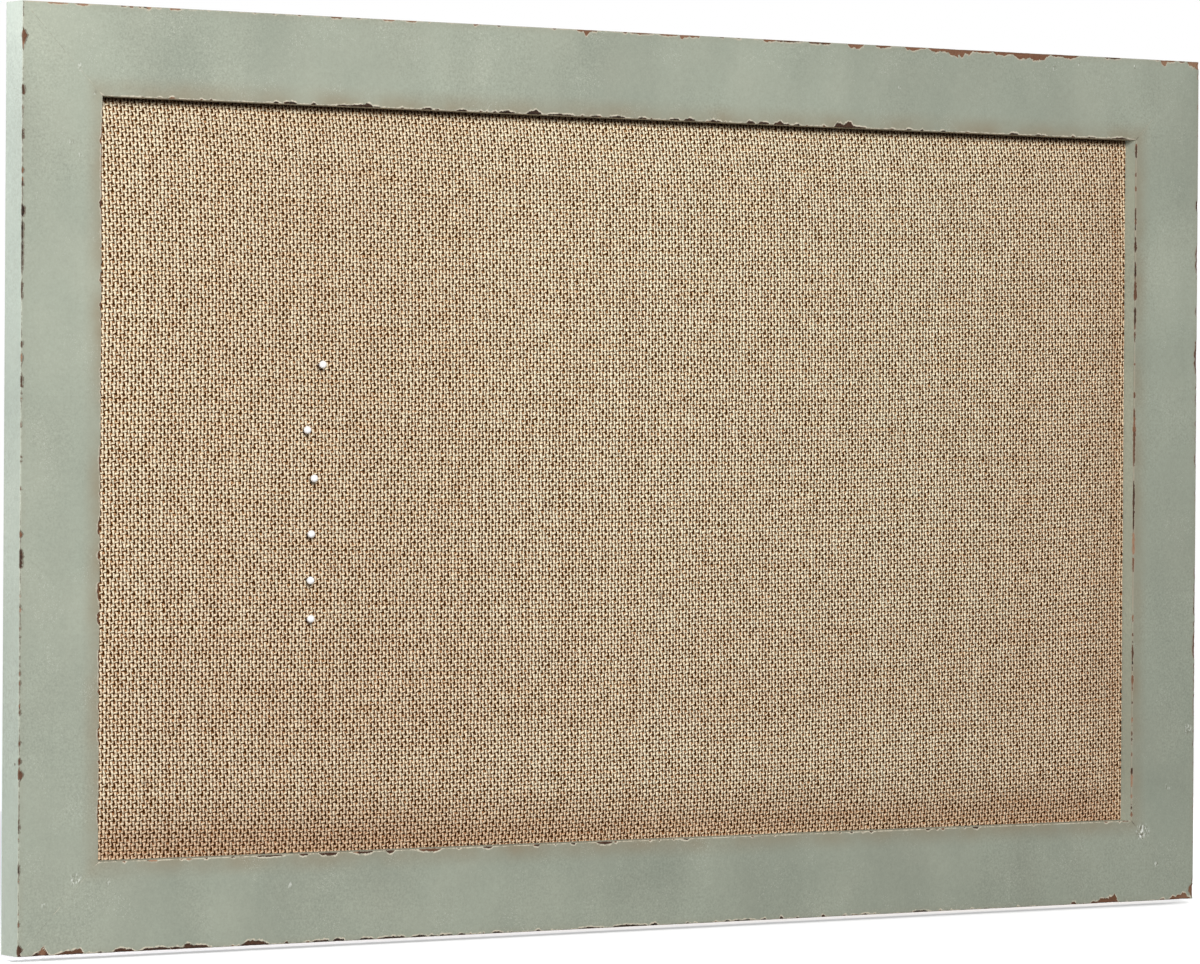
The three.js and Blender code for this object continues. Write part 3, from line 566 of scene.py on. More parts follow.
def painted_wood(name, grain):
    """Sage paint over cream over brown wood. Grain says which way the wood runs."""
    paint = Finish(name)
    here = paint.place()
    split = paint.node("SeparateXYZ", here).outputs
    inset = paint.measure("inset")

    edge_noise = paint.cloud(here, 950.0, 4.0, 0.65)
    chip = paint.plus(paint.measure("chip"), paint.swing(edge_noise, 1.5))
    bare = paint.soft(chip, 0.0, 0.14)
    rim_noise = paint.soft(paint.cloud(here, 300.0, 2.0), 0.36, 0.54, 0.15, 0.9)
    rim = paint.times(paint.soft(chip, -0.95, -0.6), rim_noise)
    rim_colour = paint.tint(paint.measure("cream"), GRIME, CREAM)

    sage = paint.tint(paint.cloud(here, 26.0, 3.0, 0.55), DARK_SAGE, PALE_SAGE)
    clouds = paint.spread(paint.cloud(here, 13.0, 2.5, 0.5, 0.6), 0.3, 0.7, 0.93, 1.06)
    smudges = paint.cloud(paint.stretched(here, (26.0, 1.0, 7.0)), 1.0, 1.5)
    smudges = paint.spread(smudges, 0.35, 0.62, 0.94, 1.02)
    # Painted light: the paint is lighter at its left and right ends and towards the top, darker towards the
    # bottom, and each lip wall takes its own painted light.
    left_painted_light = paint.soft(split[0], -0.42, -0.30, 1.05, 1.0)
    right_painted_light = paint.soft(split[0], 0.20, 0.40, 1.0, 1.035)
    painted_light_to_top = paint.spread(split[2], -0.41, 0.09, 0.95, 1.015)
    mottle = paint.spread(paint.cloud(here, 260.0, 4.0, 0.75), 0.3, 0.7, 0.95, 1.05)
    grit_field = paint.soft(paint.cloud(here, 18.0, 2.0), 0.40, 0.62, 0.35, 1.0)
    grit = paint.minus(paint.spread(paint.cloud(here, 760.0, 1.0, 0.5, 0.6), 0.25, 0.75), 0.5)
    mottle = paint.plus(mottle, paint.times(grit, grit_field, 0.26))
    level = paint.times(clouds, smudges, left_painted_light, right_painted_light, painted_light_to_top, mottle, paint.measure("wall_painted_light"))
    sage = paint.shade(sage, level)

    glaze_noise = paint.spread(paint.cloud(here, 35.0, 3.0), 0.3, 0.7, 0.25, 1.0)
    inner_glaze = paint.times(paint.soft(inset, 36.0, 49.0, 0.0, 0.85), glaze_noise)
    outer_glaze = paint.times(paint.soft(inset, 5.0, 0.0, 0.0, 0.20), glaze_noise)
    # Painted shade: the lips' inner walls take the glaze's brown by their inset, fullest on the top rail's
    # underside.
    wall_painted_shade = paint.soft(inset, 50.0, 60.0, 0.0, 0.45)
    sage = paint.tint(paint.plus(inner_glaze, outer_glaze, wall_painted_shade), sage, BROWN_GLAZE)

    fleck_field = paint.soft(paint.cloud(here, 40.0, 3.0), 0.5, 0.66)
    fleck = paint.times(paint.soft(paint.cloud(here, 1500.0, 2.0, 0.6), 0.60, 0.68, 0.0, 0.5), fleck_field)
    sage = paint.tint(fleck, sage, PALE_FLECK)
    dot = paint.node("TexVoronoi", here)
    dot.inputs["Scale"].default_value = 52.0
    dot_dice = paint.node("SeparateColor", dot.outputs["Color"]).outputs
    dots = paint.soft(paint.minus(paint.times(dot_dice[0], 0.045), dot.outputs["Distance"]), -0.004, 0.006)
    rare = paint.math("GREATER_THAN", dot_dice[1], 0.86)
    sage = paint.tint(paint.times(dots, rare), sage, DARK_DOT)
    streak_noise = paint.cloud(paint.stretched(here, (700.0, 1.0, 380.0)), 1.0, 1.0, 0.5, 1.2)
    streak = paint.soft(streak_noise, 0.56, 0.62)
    gouge = paint.soft(streak_noise, 0.42, 0.38)
    for scuff_x, scuff_z, scuff_size, strength in SCUFFS:
        scuff_place = (scuff_x * MM, FRONT_Y * MM, scuff_z * MM)
        away = paint.node("VectorMath", here, scuff_place, operation="DISTANCE").outputs["Value"]
        near = paint.soft(away, scuff_size * MM, scuff_size * 0.4 * MM, 0.0, strength)
        sage = paint.tint(paint.times(near, streak), sage, SCUFF_WHITE)
        sage = paint.tint(paint.times(near, gouge, 0.7), sage, SCRAPE_BROWN)
    for crack_x, crack_z, way_x, way_z, crack_length in CRACKS:
        corner = (crack_x * MM, 0.0, crack_z * MM)
        offset = paint.node("VectorMath", here, corner, operation="SUBTRACT").outputs[0]
        run = paint.node("VectorMath", offset, (way_x, 0.0, way_z), operation="DOT_PRODUCT").outputs["Value"]
        off = paint.node("VectorMath", offset, (-way_z, 0.0, way_x), operation="DOT_PRODUCT").outputs["Value"]
        beside = paint.soft(paint.math("ABSOLUTE", off), 0.45 * MM, 0.15 * MM)
        fading = paint.soft(run, crack_length * MM, crack_length * 0.5 * MM, 0.0, 0.8)
        sage = paint.tint(paint.times(beside, paint.math("GREATER_THAN", run, 0.0), fading), sage, GRIME)
    coat = paint.tint(rim, sage, rim_colour)

    wood_run = paint.cloud(paint.stretched(here, grain), 1.0, 4.0, 0.6)
    ramp = paint.node("ValToRGB", paint.plus(paint.measure("wood_tone_and_shade"), paint.swing(edge_noise, 0.5)))
    ramp.color_ramp.elements[0].color = SHADED_WOOD
    ramp.color_ramp.elements[1].color = PALE_WOOD
    ramp.color_ramp.elements.new(0.5).color = BROWN_WOOD
    bared = paint.shade(ramp.outputs[0], paint.spread(wood_run, 0.3, 0.7, 0.75, 1.2))
    colour = paint.tint(bare, coat, bared)

    unpainted = paint.soft(paint.plus(paint.measure("raw"), paint.swing(glaze_noise, 2.4)), 0.0, 0.5)
    colour = paint.tint(unpainted, colour, paint.tint(paint.soft(wood_run, 0.3, 0.7), DARK_PINE, PALE_PINE))
    glue_line = paint.soft(paint.measure("joint"), 0.45, 0.95, 0.0, 0.75)
    colour = paint.tint(glue_line, colour, GLUE)

    wooden = paint.most(bare, unpainted)
    peel = paint.times(paint.cloud(here, 420.0, 2.0, 0.5, 0.8), 0.06)
    film = paint.times(paint.minus(1.0, bare), 0.16)
    height = paint.plus(peel, film, paint.times(wood_run, 0.25, wooden))
    return paint.surface(colour, paint.spread(wooden, 0.0, 1.0, 0.52, 0.85), height, specular=0.22)


ACROSS = Vector((1.0, 0.0, 0.0))
UPWARD = Vector((0.0, 0.0, 1.0))
RAIL_GRAIN = (5.0, 160.0, 160.0)
STILE_GRAIN = (160.0, 160.0, 5.0)
top_edge = Vector((0.0, FRONT_Y, BOARD_MIDDLE_Z + STILE_LENGTH / 2))
bottom_edge = Vector((0.0, FRONT_Y, BOARD_MIDDLE_Z - STILE_LENGTH / 2))
left_edge = Vector((-RAIL_LENGTH / 2, FRONT_Y, BOARD_MIDDLE_Z))
right_edge = Vector((RAIL_LENGTH / 2, FRONT_Y, BOARD_MIDDLE_Z))
rail_paint = painted_wood("painted rail wood", RAIL_GRAIN)
stile_paint = painted_wood("painted stile wood", STILE_GRAIN)
# Each member's last four values are its lip wall's painted shade and painted light, a seed and its paint.
for name, length, edge, along, inward, outer, inner, wall_painted_shade, wall_painted_light, seed, paint in (
    ("frame_top_rail", RAIL_LENGTH, top_edge, ACROSS, -UPWARD,
     (0.60, TOP_OUTER_CHIPS, 0.35, -0.55, 0.1, 6), (0.85, TOP_INNER_CHIPS, 0.35, -0.35, 0.1, 7),
     60.0, 1.0, 11, rail_paint),
    ("frame_bottom_rail", RAIL_LENGTH, bottom_edge, ACROSS, UPWARD,
     (0.85, BOTTOM_OUTER_CHIPS, 0.40, -0.50, 0.05, 7), (0.80, BOTTOM_INNER_CHIPS, 0.25, -0.55, 0.2, 5),
     30.0, 1.0, 12, rail_paint),
    ("frame_left_stile", STILE_LENGTH, left_edge, UPWARD, ACROSS,
     (0.05, LEFT_OUTER_CHIPS, 0.45, -0.50, 0.0, 8), (0.60, LEFT_INNER_CHIPS, 0.50, -0.35, 0.2, 9),
     45.0, 1.0, 13, stile_paint),
    ("frame_right_stile", STILE_LENGTH, right_edge, UPWARD, -ACROSS,
     (0.30, RIGHT_OUTER_CHIPS, 0.35, -0.50, 0.1, 7), (0.35, RIGHT_INNER_CHIPS, 0.45, -0.45, 0.1, 9),
     30.0, 1.22, 14, stile_paint),
):
    member = frame_member(
        name + "_stock", length, edge, along, inward, outer, inner, wall_painted_shade, wall_painted_light, seed, paint
    )
    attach(member, "root")
    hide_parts(name)


# Mitre nails: eight flat V nails of plain steel, driven across the mitres from behind and sunk a little.
# They hold the corners, with glue, while the paint hides the joint in front.
STEEL_DIRT = (0.16, 0.10, 0.065, 1.0)
STEEL_SCRATCHES = (900.0, 900.0, 4000.0)


def worn_steel(name, colour, roughness, dirt):
    steel = Finish(name)
    here = steel.place()
    patches = steel.soft(steel.cloud(here, 350.0, 4.0, 0.6), 0.42, 0.66, 0.0, dirt)
    scratches = steel.cloud(steel.stretched(here, STEEL_SCRATCHES), 1.0, 2.0)
    rough = steel.spread(scratches, 0.3, 0.7, roughness - 0.08, roughness + 0.12)
    tone = steel.tint(patches, colour, STEEL_DIRT)
    return steel.surface(tone, rough, steel.times(scratches, 0.02), metallic=1.0)


plain_steel = worn_steel("plain steel", (0.26, 0.26, 0.27, 1.0), 0.46, 0.5)


def refinish(name, material):
    """Gives a carried-over CAD piece its finish."""
    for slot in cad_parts[name].material_slots:
        slot.material = material


for corner in ("top_right", "bottom_right", "bottom_left", "top_left"):
    for place in ("outer", "inner"):
        refinish(f"mitre_nail_{corner}_{place}", plain_steel)


# Backing board: a sheet of brown pressed hardboard, 1.6 mm thick, cut to the rabbet.
# Its smooth side, mottled with pressed fibre, faces the wall between the folded edges of the burlap.
DARK_FIBRE = (0.13, 0.075, 0.042, 1.0)
PALE_FIBRE = (0.27, 0.165, 0.095, 1.0)
hardboard = Finish("pressed hardboard")
here = hardboard.place()
fibres = hardboard.cloud(here, 260.0, 5.0, 0.7)
brown = hardboard.tint(hardboard.soft(fibres, 0.35, 0.65), DARK_FIBRE, PALE_FIBRE)
brown = hardboard.shade(brown, hardboard.spread(hardboard.cloud(here, 18.0, 2.0), 0.3, 0.7, 0.85, 1.12))
refinish("backing_board", hardboard.surface(brown, 0.6, hardboard.times(fibres, 0.08)))

# Cork sheet: 2.4 mm of pressed cork granules behind the padding, where the pins' points hold.
# Light and dark granules of 1 to 3 mm in a brown binder.
DARK_GRANULE = (0.26, 0.145, 0.07, 1.0)
PALE_GRANULE = (0.58, 0.39, 0.22, 1.0)
cork = Finish("pressed cork")
grains = cork.node("TexVoronoi", cork.place())
grains.inputs["Scale"].default_value = 480.0
from_middle = grains.outputs["Distance"]
grain_tone = cork.node("SeparateColor", grains.outputs["Color"]).outputs[0]
cork_colour = cork.tint(grain_tone, DARK_GRANULE, PALE_GRANULE)
cork_colour = cork.shade(cork_colour, cork.spread(from_middle, 0.0, 0.7, 1.1, 0.7))
refinish("cork_sheet", cork.surface(cork_colour, 0.9, cork.times(from_middle, -0.25)))


# Padding: a thin polyester wadding laid on the cork, fullest in the middle and feathered at its rim.
# It gives the burlap its crown, and the cloth holds it in place.
OPENING_WIDTH = 714.0
OPENING_HEIGHT = 410.0
CROWN_HEIGHT = 2.8
CROWN_RUN = 42.0
PADDING_MARGIN = 14.0
PADDING_BACK_Y = -12.8
PADDING_GAP = 0.2
PADDING_LUMPS = 0.06
LINT_SHADE = (0.62, 0.59, 0.52, 1.0)
LINT_WHITE = (0.85, 0.83, 0.77, 1.0)


def crown(x, z):
    """How far the cloth stands in front of its rim, for a place measured from the board's middle."""
    across = min(max((OPENING_WIDTH / 2 - abs(x)) / CROWN_RUN, 0.0), 1.0)
    upward = min(max((OPENING_HEIGHT / 2 - abs(z)) / CROWN_RUN, 0.0), 1.0)
    return CROWN_HEIGHT * (1 - (1 - across) ** 2) * (1 - (1 - upward) ** 2)


def standing_grid(bm, width, height, steps_x, steps_z, y):
    """A grid that stands upright around the board's middle and faces the viewer."""
    bmesh.ops.create_grid(bm, x_segments=steps_x, y_segments=steps_z, size=0.5)
    upright = Matrix.Translation((0.0, y, BOARD_MIDDLE_Z)) @ Matrix.Rotation(math.pi / 2, 4, "X")
    stretch = Matrix.Diagonal((width, height, 1.0, 1.0))
    bmesh.ops.transform(bm, matrix=upright @ stretch, verts=bm.verts)


bm = bmesh.new()
padding_width = OPENING_WIDTH - 2 * PADDING_MARGIN
padding_height = OPENING_HEIGHT - 2 * PADDING_MARGIN
standing_grid(bm, padding_width, padding_height, 120, 70, PADDING_BACK_Y)
rim = [edge for edge in bm.edges if edge.is_boundary]
for vertex in bm.verts:
    lift = crown(vertex.co.x, vertex.co.z - BOARD_MIDDLE_Z) - PADDING_GAP
    vertex.co.y -= lift + PADDING_LUMPS * (noise.noise(vertex.co * 0.12) - 1)
for vertex in verts_of(bmesh.ops.extrude_edge_only(bm, edges=rim)["geom"]):
    vertex.co.y = PADDING_BACK_Y
bmesh.ops.holes_fill(bm, edges=[edge for edge in bm.edges if edge.is_boundary], sides=0)
batting = Finish("polyester wadding")
lint = batting.cloud(batting.place(), 300.0, 6.0, 0.75, 1.5)
batting_finish = batting.surface(batting.tint(lint, LINT_SHADE, LINT_WHITE), 0.95, batting.times(lint, 0.4))
padding = piece(bm, "padding_batting", batting_finish, 40)
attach(padding, "root")
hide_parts("padding_sheet")


# Burlap: one sheet of natural jute in plain weave, about eleven threads to the inch each way.
# It is pulled over the padding, folded 32 mm round the back, mitred at the corners and stapled.
PANEL_WIDTH = 731.6
PANEL_HEIGHT = 427.6
CLOTH_RIM_Y = -13.5
CLOTH_BACK_Y = -7.5
CLOTH_THICKNESS = 0.7
CLOTH_FOLD = 32.0
CLOTH_CELLS_X = 236
CLOTH_CELLS_Z = 138
WARP_PITCH = 2.262
WEFT_PITCH = 2.305
WEFT_SAG = 5.0
SAG_MIDDLE_X = -50
SAG_HALF = 350
WARP_LEAN = 2.6
LEAN_START_Z = 110
LEAN_RUN = 95
PIN_PLACE_SHARES = (
    (-0.3024, 0.1538, 1.9), (-0.315, 0.0662, 1.0), (-0.3087, 0.0013, 1.15),
    (-0.3109, -0.0732, 1.0), (-0.3115, -0.1353, 1.1), (-0.311, -0.1867, 1.0),
)
NEEDLE_HOLE = 0.78
FRAY = 0.9
SETTLED_RUN = 20.0
THREAD_HALF = 0.45
THREAD_RIDE = 0.34
HOLLOW_DEPTH = 0.6
CLIMB_LIGHT = 0.10
THREAD_WANDER = 0.75
FLOAT_PLAY = 0.20
FRONT_LIMIT_Y = -10.5
KNOT_Y = -16.3
KNOT_BROWN = (0.16, 0.11, 0.075, 1.0)
JUTE_HOLLOW_SHADE = (0.075, 0.031, 0.006, 1.0)
JUTE_SHADE = (0.28, 0.130, 0.048, 1.0)
JUTE_BROWN = (0.74, 0.445, 0.220, 1.0)
JUTE_STRAW = (1.0, 0.78, 0.49, 1.0)
JUTE_CREST_HIGHLIGHT = (1.0, 0.93, 0.70, 1.0)
KNOTS = (
    (15.0, -225.5, 3.2, 0.42), (186.5, -110.8, 2.6, 0.38), (-324.0, -323.0, 2.8, 0.35),
    (-213.5, -115.4, 1.3, 0.9),
)

bm = bmesh.new()
standing_grid(bm, PANEL_WIDTH, PANEL_HEIGHT, CLOTH_CELLS_X, CLOTH_CELLS_Z, CLOTH_RIM_Y)
flat_layer = bm.verts.layers.float_vector.new("flat_place")
for vertex in bm.verts:
    vertex[flat_layer] = Vector((vertex.co.x, vertex.co.z - BOARD_MIDDLE_Z, 0.0))
rim = [edge for edge in bm.edges if edge.is_boundary]
side_depth = CLOTH_BACK_Y - CLOTH_RIM_Y
for reach, inset in ((side_depth, 0.0), (0.0, CLOTH_FOLD / 2), (0.0, CLOTH_FOLD)):
    grown = bmesh.ops.extrude_edge_only(bm, edges=rim)["geom"]
    rim = [edge for edge in edges_of(grown) if edge.is_boundary]
    step = side_depth if reach else CLOTH_FOLD / 2
    for vertex in verts_of(grown):
        x = vertex[flat_layer].x
        z = vertex[flat_layer].y
        share_x = max(-1.0, min(1.0, x / (PANEL_WIDTH / 2)))
        share_z = max(-1.0, min(1.0, z / (PANEL_HEIGHT / 2)))
        on_x = abs(share_x) > 0.9999
        on_z = abs(share_z) > 0.9999
        flat_x = x + math.copysign(step if on_x else 0.0, x)
        flat_z = z + math.copysign(step if on_z else 0.0, z)
        vertex[flat_layer] = Vector((flat_x, flat_z, 0.0))
        if reach:
            vertex.co.y = CLOTH_BACK_Y
        else:
            vertex.co.x = share_x * (PANEL_WIDTH / 2 - inset)
            vertex.co.z = share_z * (PANEL_HEIGHT / 2 - inset) + BOARD_MIDDLE_Z
            fray = FRAY * noise.noise(Vector((x, z, 3.0)) * 0.09) if inset == CLOTH_FOLD else 0.0
            vertex.co.x -= share_x * fray if on_x else 0.0
            vertex.co.z -= share_z * fray if on_z else 0.0
front = [
    vertex for vertex in bm.verts
    if abs(vertex.co.y - CLOTH_RIM_Y) < 0.01
    and abs(vertex.co.x) < OPENING_WIDTH / 2 and abs(vertex.co.z - BOARD_MIDDLE_Z) < OPENING_HEIGHT / 2
]
holes = []
for share_x, share_z, _ in PIN_PLACE_SHARES:
    target = Vector((share_x * OPENING_WIDTH, CLOTH_RIM_Y, share_z * OPENING_HEIGHT + BOARD_MIDDLE_Z))
    nearest = min(front, key=lambda vertex: (vertex.co - target).length)
    nearest.co = target
    nearest[flat_layer] = Vector((target.x, target.z - BOARD_MIDDLE_Z, 0.0))
    holes.append(nearest)
for vertex in front:
    x = vertex.co.x
    z = vertex.co.z - BOARD_MIDDLE_Z
    from_wall = min(OPENING_WIDTH / 2 - abs(x), OPENING_HEIGHT / 2 - abs(z))
    settled = min(from_wall / SETTLED_RUN, 1.0)
    weft_ridge = 0.10 * noise.noise(Vector((x * 0.012, z * 0.31, 1.0)))
    warp_ridge = 0.07 * noise.noise(Vector((x * 0.33, z * 0.012, 7.0)))
    swell = 0.16 * noise.noise(Vector((x * 0.03, z * 0.03, 4.0)))
    vertex.co.y -= crown(x, z) + settled * (weft_ridge + warp_ridge + swell)
opened = bmesh.ops.bevel(
    bm, geom=holes, offset=NEEDLE_HOLE, segments=1, profile=0.5, affect="VERTICES", material=-1
)
bmesh.ops.delete(bm, geom=opened["faces"], context="FACES_ONLY")
weave_layer = bm.loops.layers.uv.new("weave")
for face in bm.faces:
    for loop in face.loops:
        x = loop.vert[flat_layer].x
        z = loop.vert[flat_layer].y
        sag = WEFT_SAG * (1 - ((x - SAG_MIDDLE_X) / SAG_HALF) ** 2)
        sag += 0.8 * noise.noise(Vector((x * 0.012, z * 0.008, 2.0)))
        climb = min(max((z - LEAN_START_Z) / LEAN_RUN, 0.0), 1.0)
        lean = WARP_LEAN * climb * climb + 0.9 * noise.noise(Vector((x * 0.008, z * 0.012, 5.0)))
        loop[weave_layer].uv = ((x + lean) / WARP_PITCH, (z + sag) / WEFT_PITCH)

jute = Finish("jute burlap")
threads = jute.node("UVMap", uv_map="weave").outputs[0]
here = jute.place()


def along_threads(across_warps, across_wefts, *cloud):
    """A cloud in the threads' own count, with its scale across the warps and across the wefts."""
    return jute.cloud(jute.stretched(threads, (across_warps, across_wefts, 1.0)), 1.0, *cloud)


def dice_of(count, shift=0.0):
    """One random value for each thread."""
    dice = jute.node("TexWhiteNoise", noise_dimensions="1D")
    jute.fill(dice.inputs["W"], jute.plus(count, shift))
    return dice.outputs["Value"]


count = jute.node("SeparateXYZ", threads).outputs
u = jute.plus(count[0], jute.swing(along_threads(0.9, 0.22, 3.0, 0.6), THREAD_WANDER))
v = jute.plus(count[1], jute.swing(along_threads(0.22, 0.9, 3.0, 0.6, 0.1), THREAD_WANDER))
warp = jute.math("ROUND", u)
weft = jute.math("ROUND", v)
float_dice = jute.node("TexWhiteNoise", jute.node("CombineXYZ", warp, weft).outputs[0], noise_dimensions="2D")
float_split = jute.node("SeparateColor", float_dice.outputs["Color"]).outputs
off_warp = jute.plus(jute.minus(u, warp), jute.swing(float_split[0], FLOAT_PLAY))
off_weft = jute.plus(jute.minus(v, weft), jute.swing(float_split[1], FLOAT_PLAY))
warp_dice = dice_of(warp)
weft_dice = dice_of(weft, 1000.0)


def thread(offset, half_width, lit_part, slub, own_count, other_count, lean, lit_shift, dips, shows, sign):
    """Height in mm of one set of threads, round in section, over and under the other set, and its painted
    light and shade: a highlight on each crest, lighter where a thread climbs towards the light, darker in the
    hollows and where it goes under.
    """
    turn = jute.times(jute.math("COSINE", jute.times(own_count, math.pi)), sign)
    other_turn = jute.times(other_count, math.pi)
    ride = jute.times(turn, jute.math("COSINE", other_turn))
    climb = jute.times(turn, jute.math("SINE", other_turn))
    lit_ride = jute.times(turn, jute.math("COSINE", jute.plus(other_turn, lit_shift * math.pi)))
    offset = jute.minus(offset, jute.times(climb, lean))
    half_width = jute.plus(half_width, jute.spread(slub, 0.3, 0.7, -0.025, 0.035))
    across = jute.math("DIVIDE", offset, half_width)
    inside = jute.most(jute.minus(1.0, jute.times(across, across)), 0.0)
    lit_across = jute.math("DIVIDE", across, lit_part)
    crest = jute.most(jute.minus(1.0, jute.times(lit_across, lit_across)), 0.0)
    hollow = jute.math("LESS_THAN", inside, 0.001)
    height = jute.plus(jute.times(jute.math("SQRT", inside), THREAD_HALF), jute.times(ride, THREAD_RIDE))
    height = jute.minus(height, jute.times(hollow, HOLLOW_DEPTH))
    shown = jute.soft(lit_ride, dips, shows)
    light = jute.times(jute.spread(crest, 0.0, 0.8, 0.36, 1.06), shown)
    light = jute.plus(light, jute.times(climb, shown, CLIMB_LIGHT * sign))
    light = jute.minus(light, jute.times(hollow, 0.2))
    return height, light


warp_half = jute.spread(warp_dice, 0.0, 1.0, 0.26, 0.30)
weft_half = jute.spread(weft_dice, 0.0, 1.0, 0.21, 0.25)
warp_slub = along_threads(2.3, 0.21, 2.0)
weft_slub = along_threads(0.21, 2.3, 2.0)
warp_height, warp_light = thread(off_warp, warp_half, 1.0, warp_slub, warp, v, -0.06, 0.17, -0.92, -0.55, 1.0)
weft_height, weft_light = thread(off_weft, weft_half, 1.05, weft_slub, weft, u, 0.10, 0.15, -0.14, 0.28, -1.0)
top_height = jute.most(warp_height, weft_height)
warp_on_top = jute.math("GREATER_THAN", warp_height, weft_height)
fibre = jute.blend(warp_on_top, along_threads(1.3, 5.0, 3.0, 0.7), along_threads(5.0, 1.3, 3.0, 0.7))

# Painted light and shade of the weave, with the threads' own tone: a ramp from painted hollow shade to
# painted crest highlight.
painted_light_and_tone = jute.plus(
    jute.blend(warp_on_top, weft_light, warp_light), jute.swing(fibre, 0.25),
    jute.swing(float_dice.outputs["Value"], 0.24), jute.spread(warp_on_top, 0.0, 1.0, 0.04, 0.10),
)
painted_light_ramp = jute.node("ValToRGB", painted_light_and_tone)
painted_light_ramp.color_ramp.elements[0].position = 0.15
painted_light_ramp.color_ramp.elements[0].color = JUTE_HOLLOW_SHADE
painted_light_ramp.color_ramp.elements[1].color = JUTE_CREST_HIGHLIGHT
for position, colour in ((0.33, JUTE_SHADE), (0.54, JUTE_BROWN), (0.76, JUTE_STRAW)):
    painted_light_ramp.color_ramp.elements.new(position).color = colour
warp_tint = jute.tint(warp_dice, (1.0, 0.94, 0.91, 1.0), WHITE)
weft_tint = jute.tint(weft_dice, (1.0, 0.92, 0.86, 1.0), (1.0, 0.99, 0.96, 1.0))
cloth_colour = jute.stain(1.0, painted_light_ramp.outputs[0], jute.tint(warp_on_top, weft_tint, warp_tint))
cloth_colour = jute.shade(cloth_colour, jute.spread(along_threads(0.02, 0.5, 3.0, 0.6), 0.3, 0.7, 0.98, 1.02))
across, depth, upward = jute.node("SeparateXYZ", here).outputs
# The cloth is darker and warmer in a band left of the middle, towards the bottom and towards the right, and
# streaked across by slubs.
darker_left_band = jute.times(jute.soft(across, -0.23, 0.0, 1.0, 0.0), jute.soft(across, -0.36, -0.27, 0.5, 1.0))
for share, stain in (
    (jute.soft(along_threads(0.045, 0.9, 2.0, 0.5), 0.56, 0.68, 0.0, 0.6), (0.96, 0.86, 0.76, 1.0)),
    (darker_left_band, (0.90, 0.86, 0.845, 1.0)),
    (jute.soft(upward, -0.32, -0.02, 1.0, 0.0), (0.975, 0.945, 0.945, 1.0)),
    (jute.soft(across, 0.20, 0.34), (1.0, 0.955, 0.945, 1.0)),
):
    cloth_colour = jute.stain(share, cloth_colour, stain)
for knot_x, knot_z, knot_size, knot_dark in KNOTS:
    knot_place = (knot_x * MM, KNOT_Y * MM, knot_z * MM)
    away = jute.node("VectorMath", here, knot_place, operation="DISTANCE").outputs["Value"]
    knot = jute.soft(away, knot_size * MM, knot_size * 0.3 * MM, 0.0, knot_dark)
    cloth_colour = jute.tint(knot, cloth_colour, KNOT_BROWN)
in_front = jute.math("LESS_THAN", depth, FRONT_LIMIT_Y * MM)
# Painted shade: the cloth darkens towards its bottom and right edges, where its crown turns away from the
# light.
painted_edge_shade = jute.most(jute.soft(upward, -0.366, -0.328, 1.0, 0.0), jute.soft(across, 0.325, 0.359, 0.0, 0.6))
# Painted shadow: under the top rail's lip the cloth's top rim is darkened to a fifth.
painted_lip_shadow = jute.soft(upward, 0.0415, 0.0465)
cloth_colour = jute.stain(jute.times(painted_edge_shade, in_front), cloth_colour, (0.81, 0.70, 0.66, 1.0))
cloth_colour = jute.stain(jute.times(painted_lip_shadow, in_front), cloth_colour, (0.20, 0.14, 0.11, 1.0))
weave_height = jute.times(jute.plus(top_height, jute.times(fibre, 0.12)), 1.5)
jute_finish = jute.surface(cloth_colour, 0.9, weave_height, specular=0.03)
burlap = piece(bm, "burlap_sheet", jute_finish, 60, closed=False)
wall = burlap.modifiers.new("cloth thickness", "SOLIDIFY")
wall.thickness = CLOTH_THICKNESS * MM
wall.offset = -1.0
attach(burlap, "root")
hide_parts("burlap_cover")


# Staples: flat wire staples of plated steel, shot through the folded burlap into the cork and hardboard.
# They stand in one row round the back, the crowns square to the pull of the cloth.
STAPLE_CROWN = 10.0
STAPLE_WIRE = 0.9
STAPLE_THICK = 0.5
STAPLE_LEG = 1.8
STAPLE_SPACING = 46.0
STAPLE_INSET = 22.0
STAPLE_FREE = 90.0
plated_steel = worn_steel("plated steel", (0.68, 0.665, 0.63, 1.0), 0.34, 0.15)


def staple_row(bm, start, way, length, dice):
    """Shoots a row of staples with crowns along the row, a little out of line as a hand gun leaves them."""
    leg = (STAPLE_THICK, STAPLE_LEG, STAPLE_WIRE)
    leg_x = (STAPLE_CROWN - STAPLE_THICK) / 2
    count = int(length / STAPLE_SPACING)
    for number in range(count):
        along_row = (number - (count - 1) / 2) * (length / count) + dice.uniform(-2.5, 2.5)
        turn = math.atan2(way.z, way.x) + math.radians(dice.uniform(-8, 8))
        seat = Matrix.Translation(start + way * along_row) @ Matrix.Rotation(-turn, 4, "Y")
        for size, shift in (
            ((STAPLE_CROWN, STAPLE_THICK, STAPLE_WIRE), (0.0, STAPLE_THICK / 2, 0.0)),
            (leg, (-leg_x, -STAPLE_LEG / 2, 0.0)),
            (leg, (leg_x, -STAPLE_LEG / 2, 0.0)),
        ):
            place = seat @ Matrix.Translation(shift) @ Matrix.Diagonal((*size, 1.0))
            bmesh.ops.create_cube(bm, size=1.0, matrix=place)


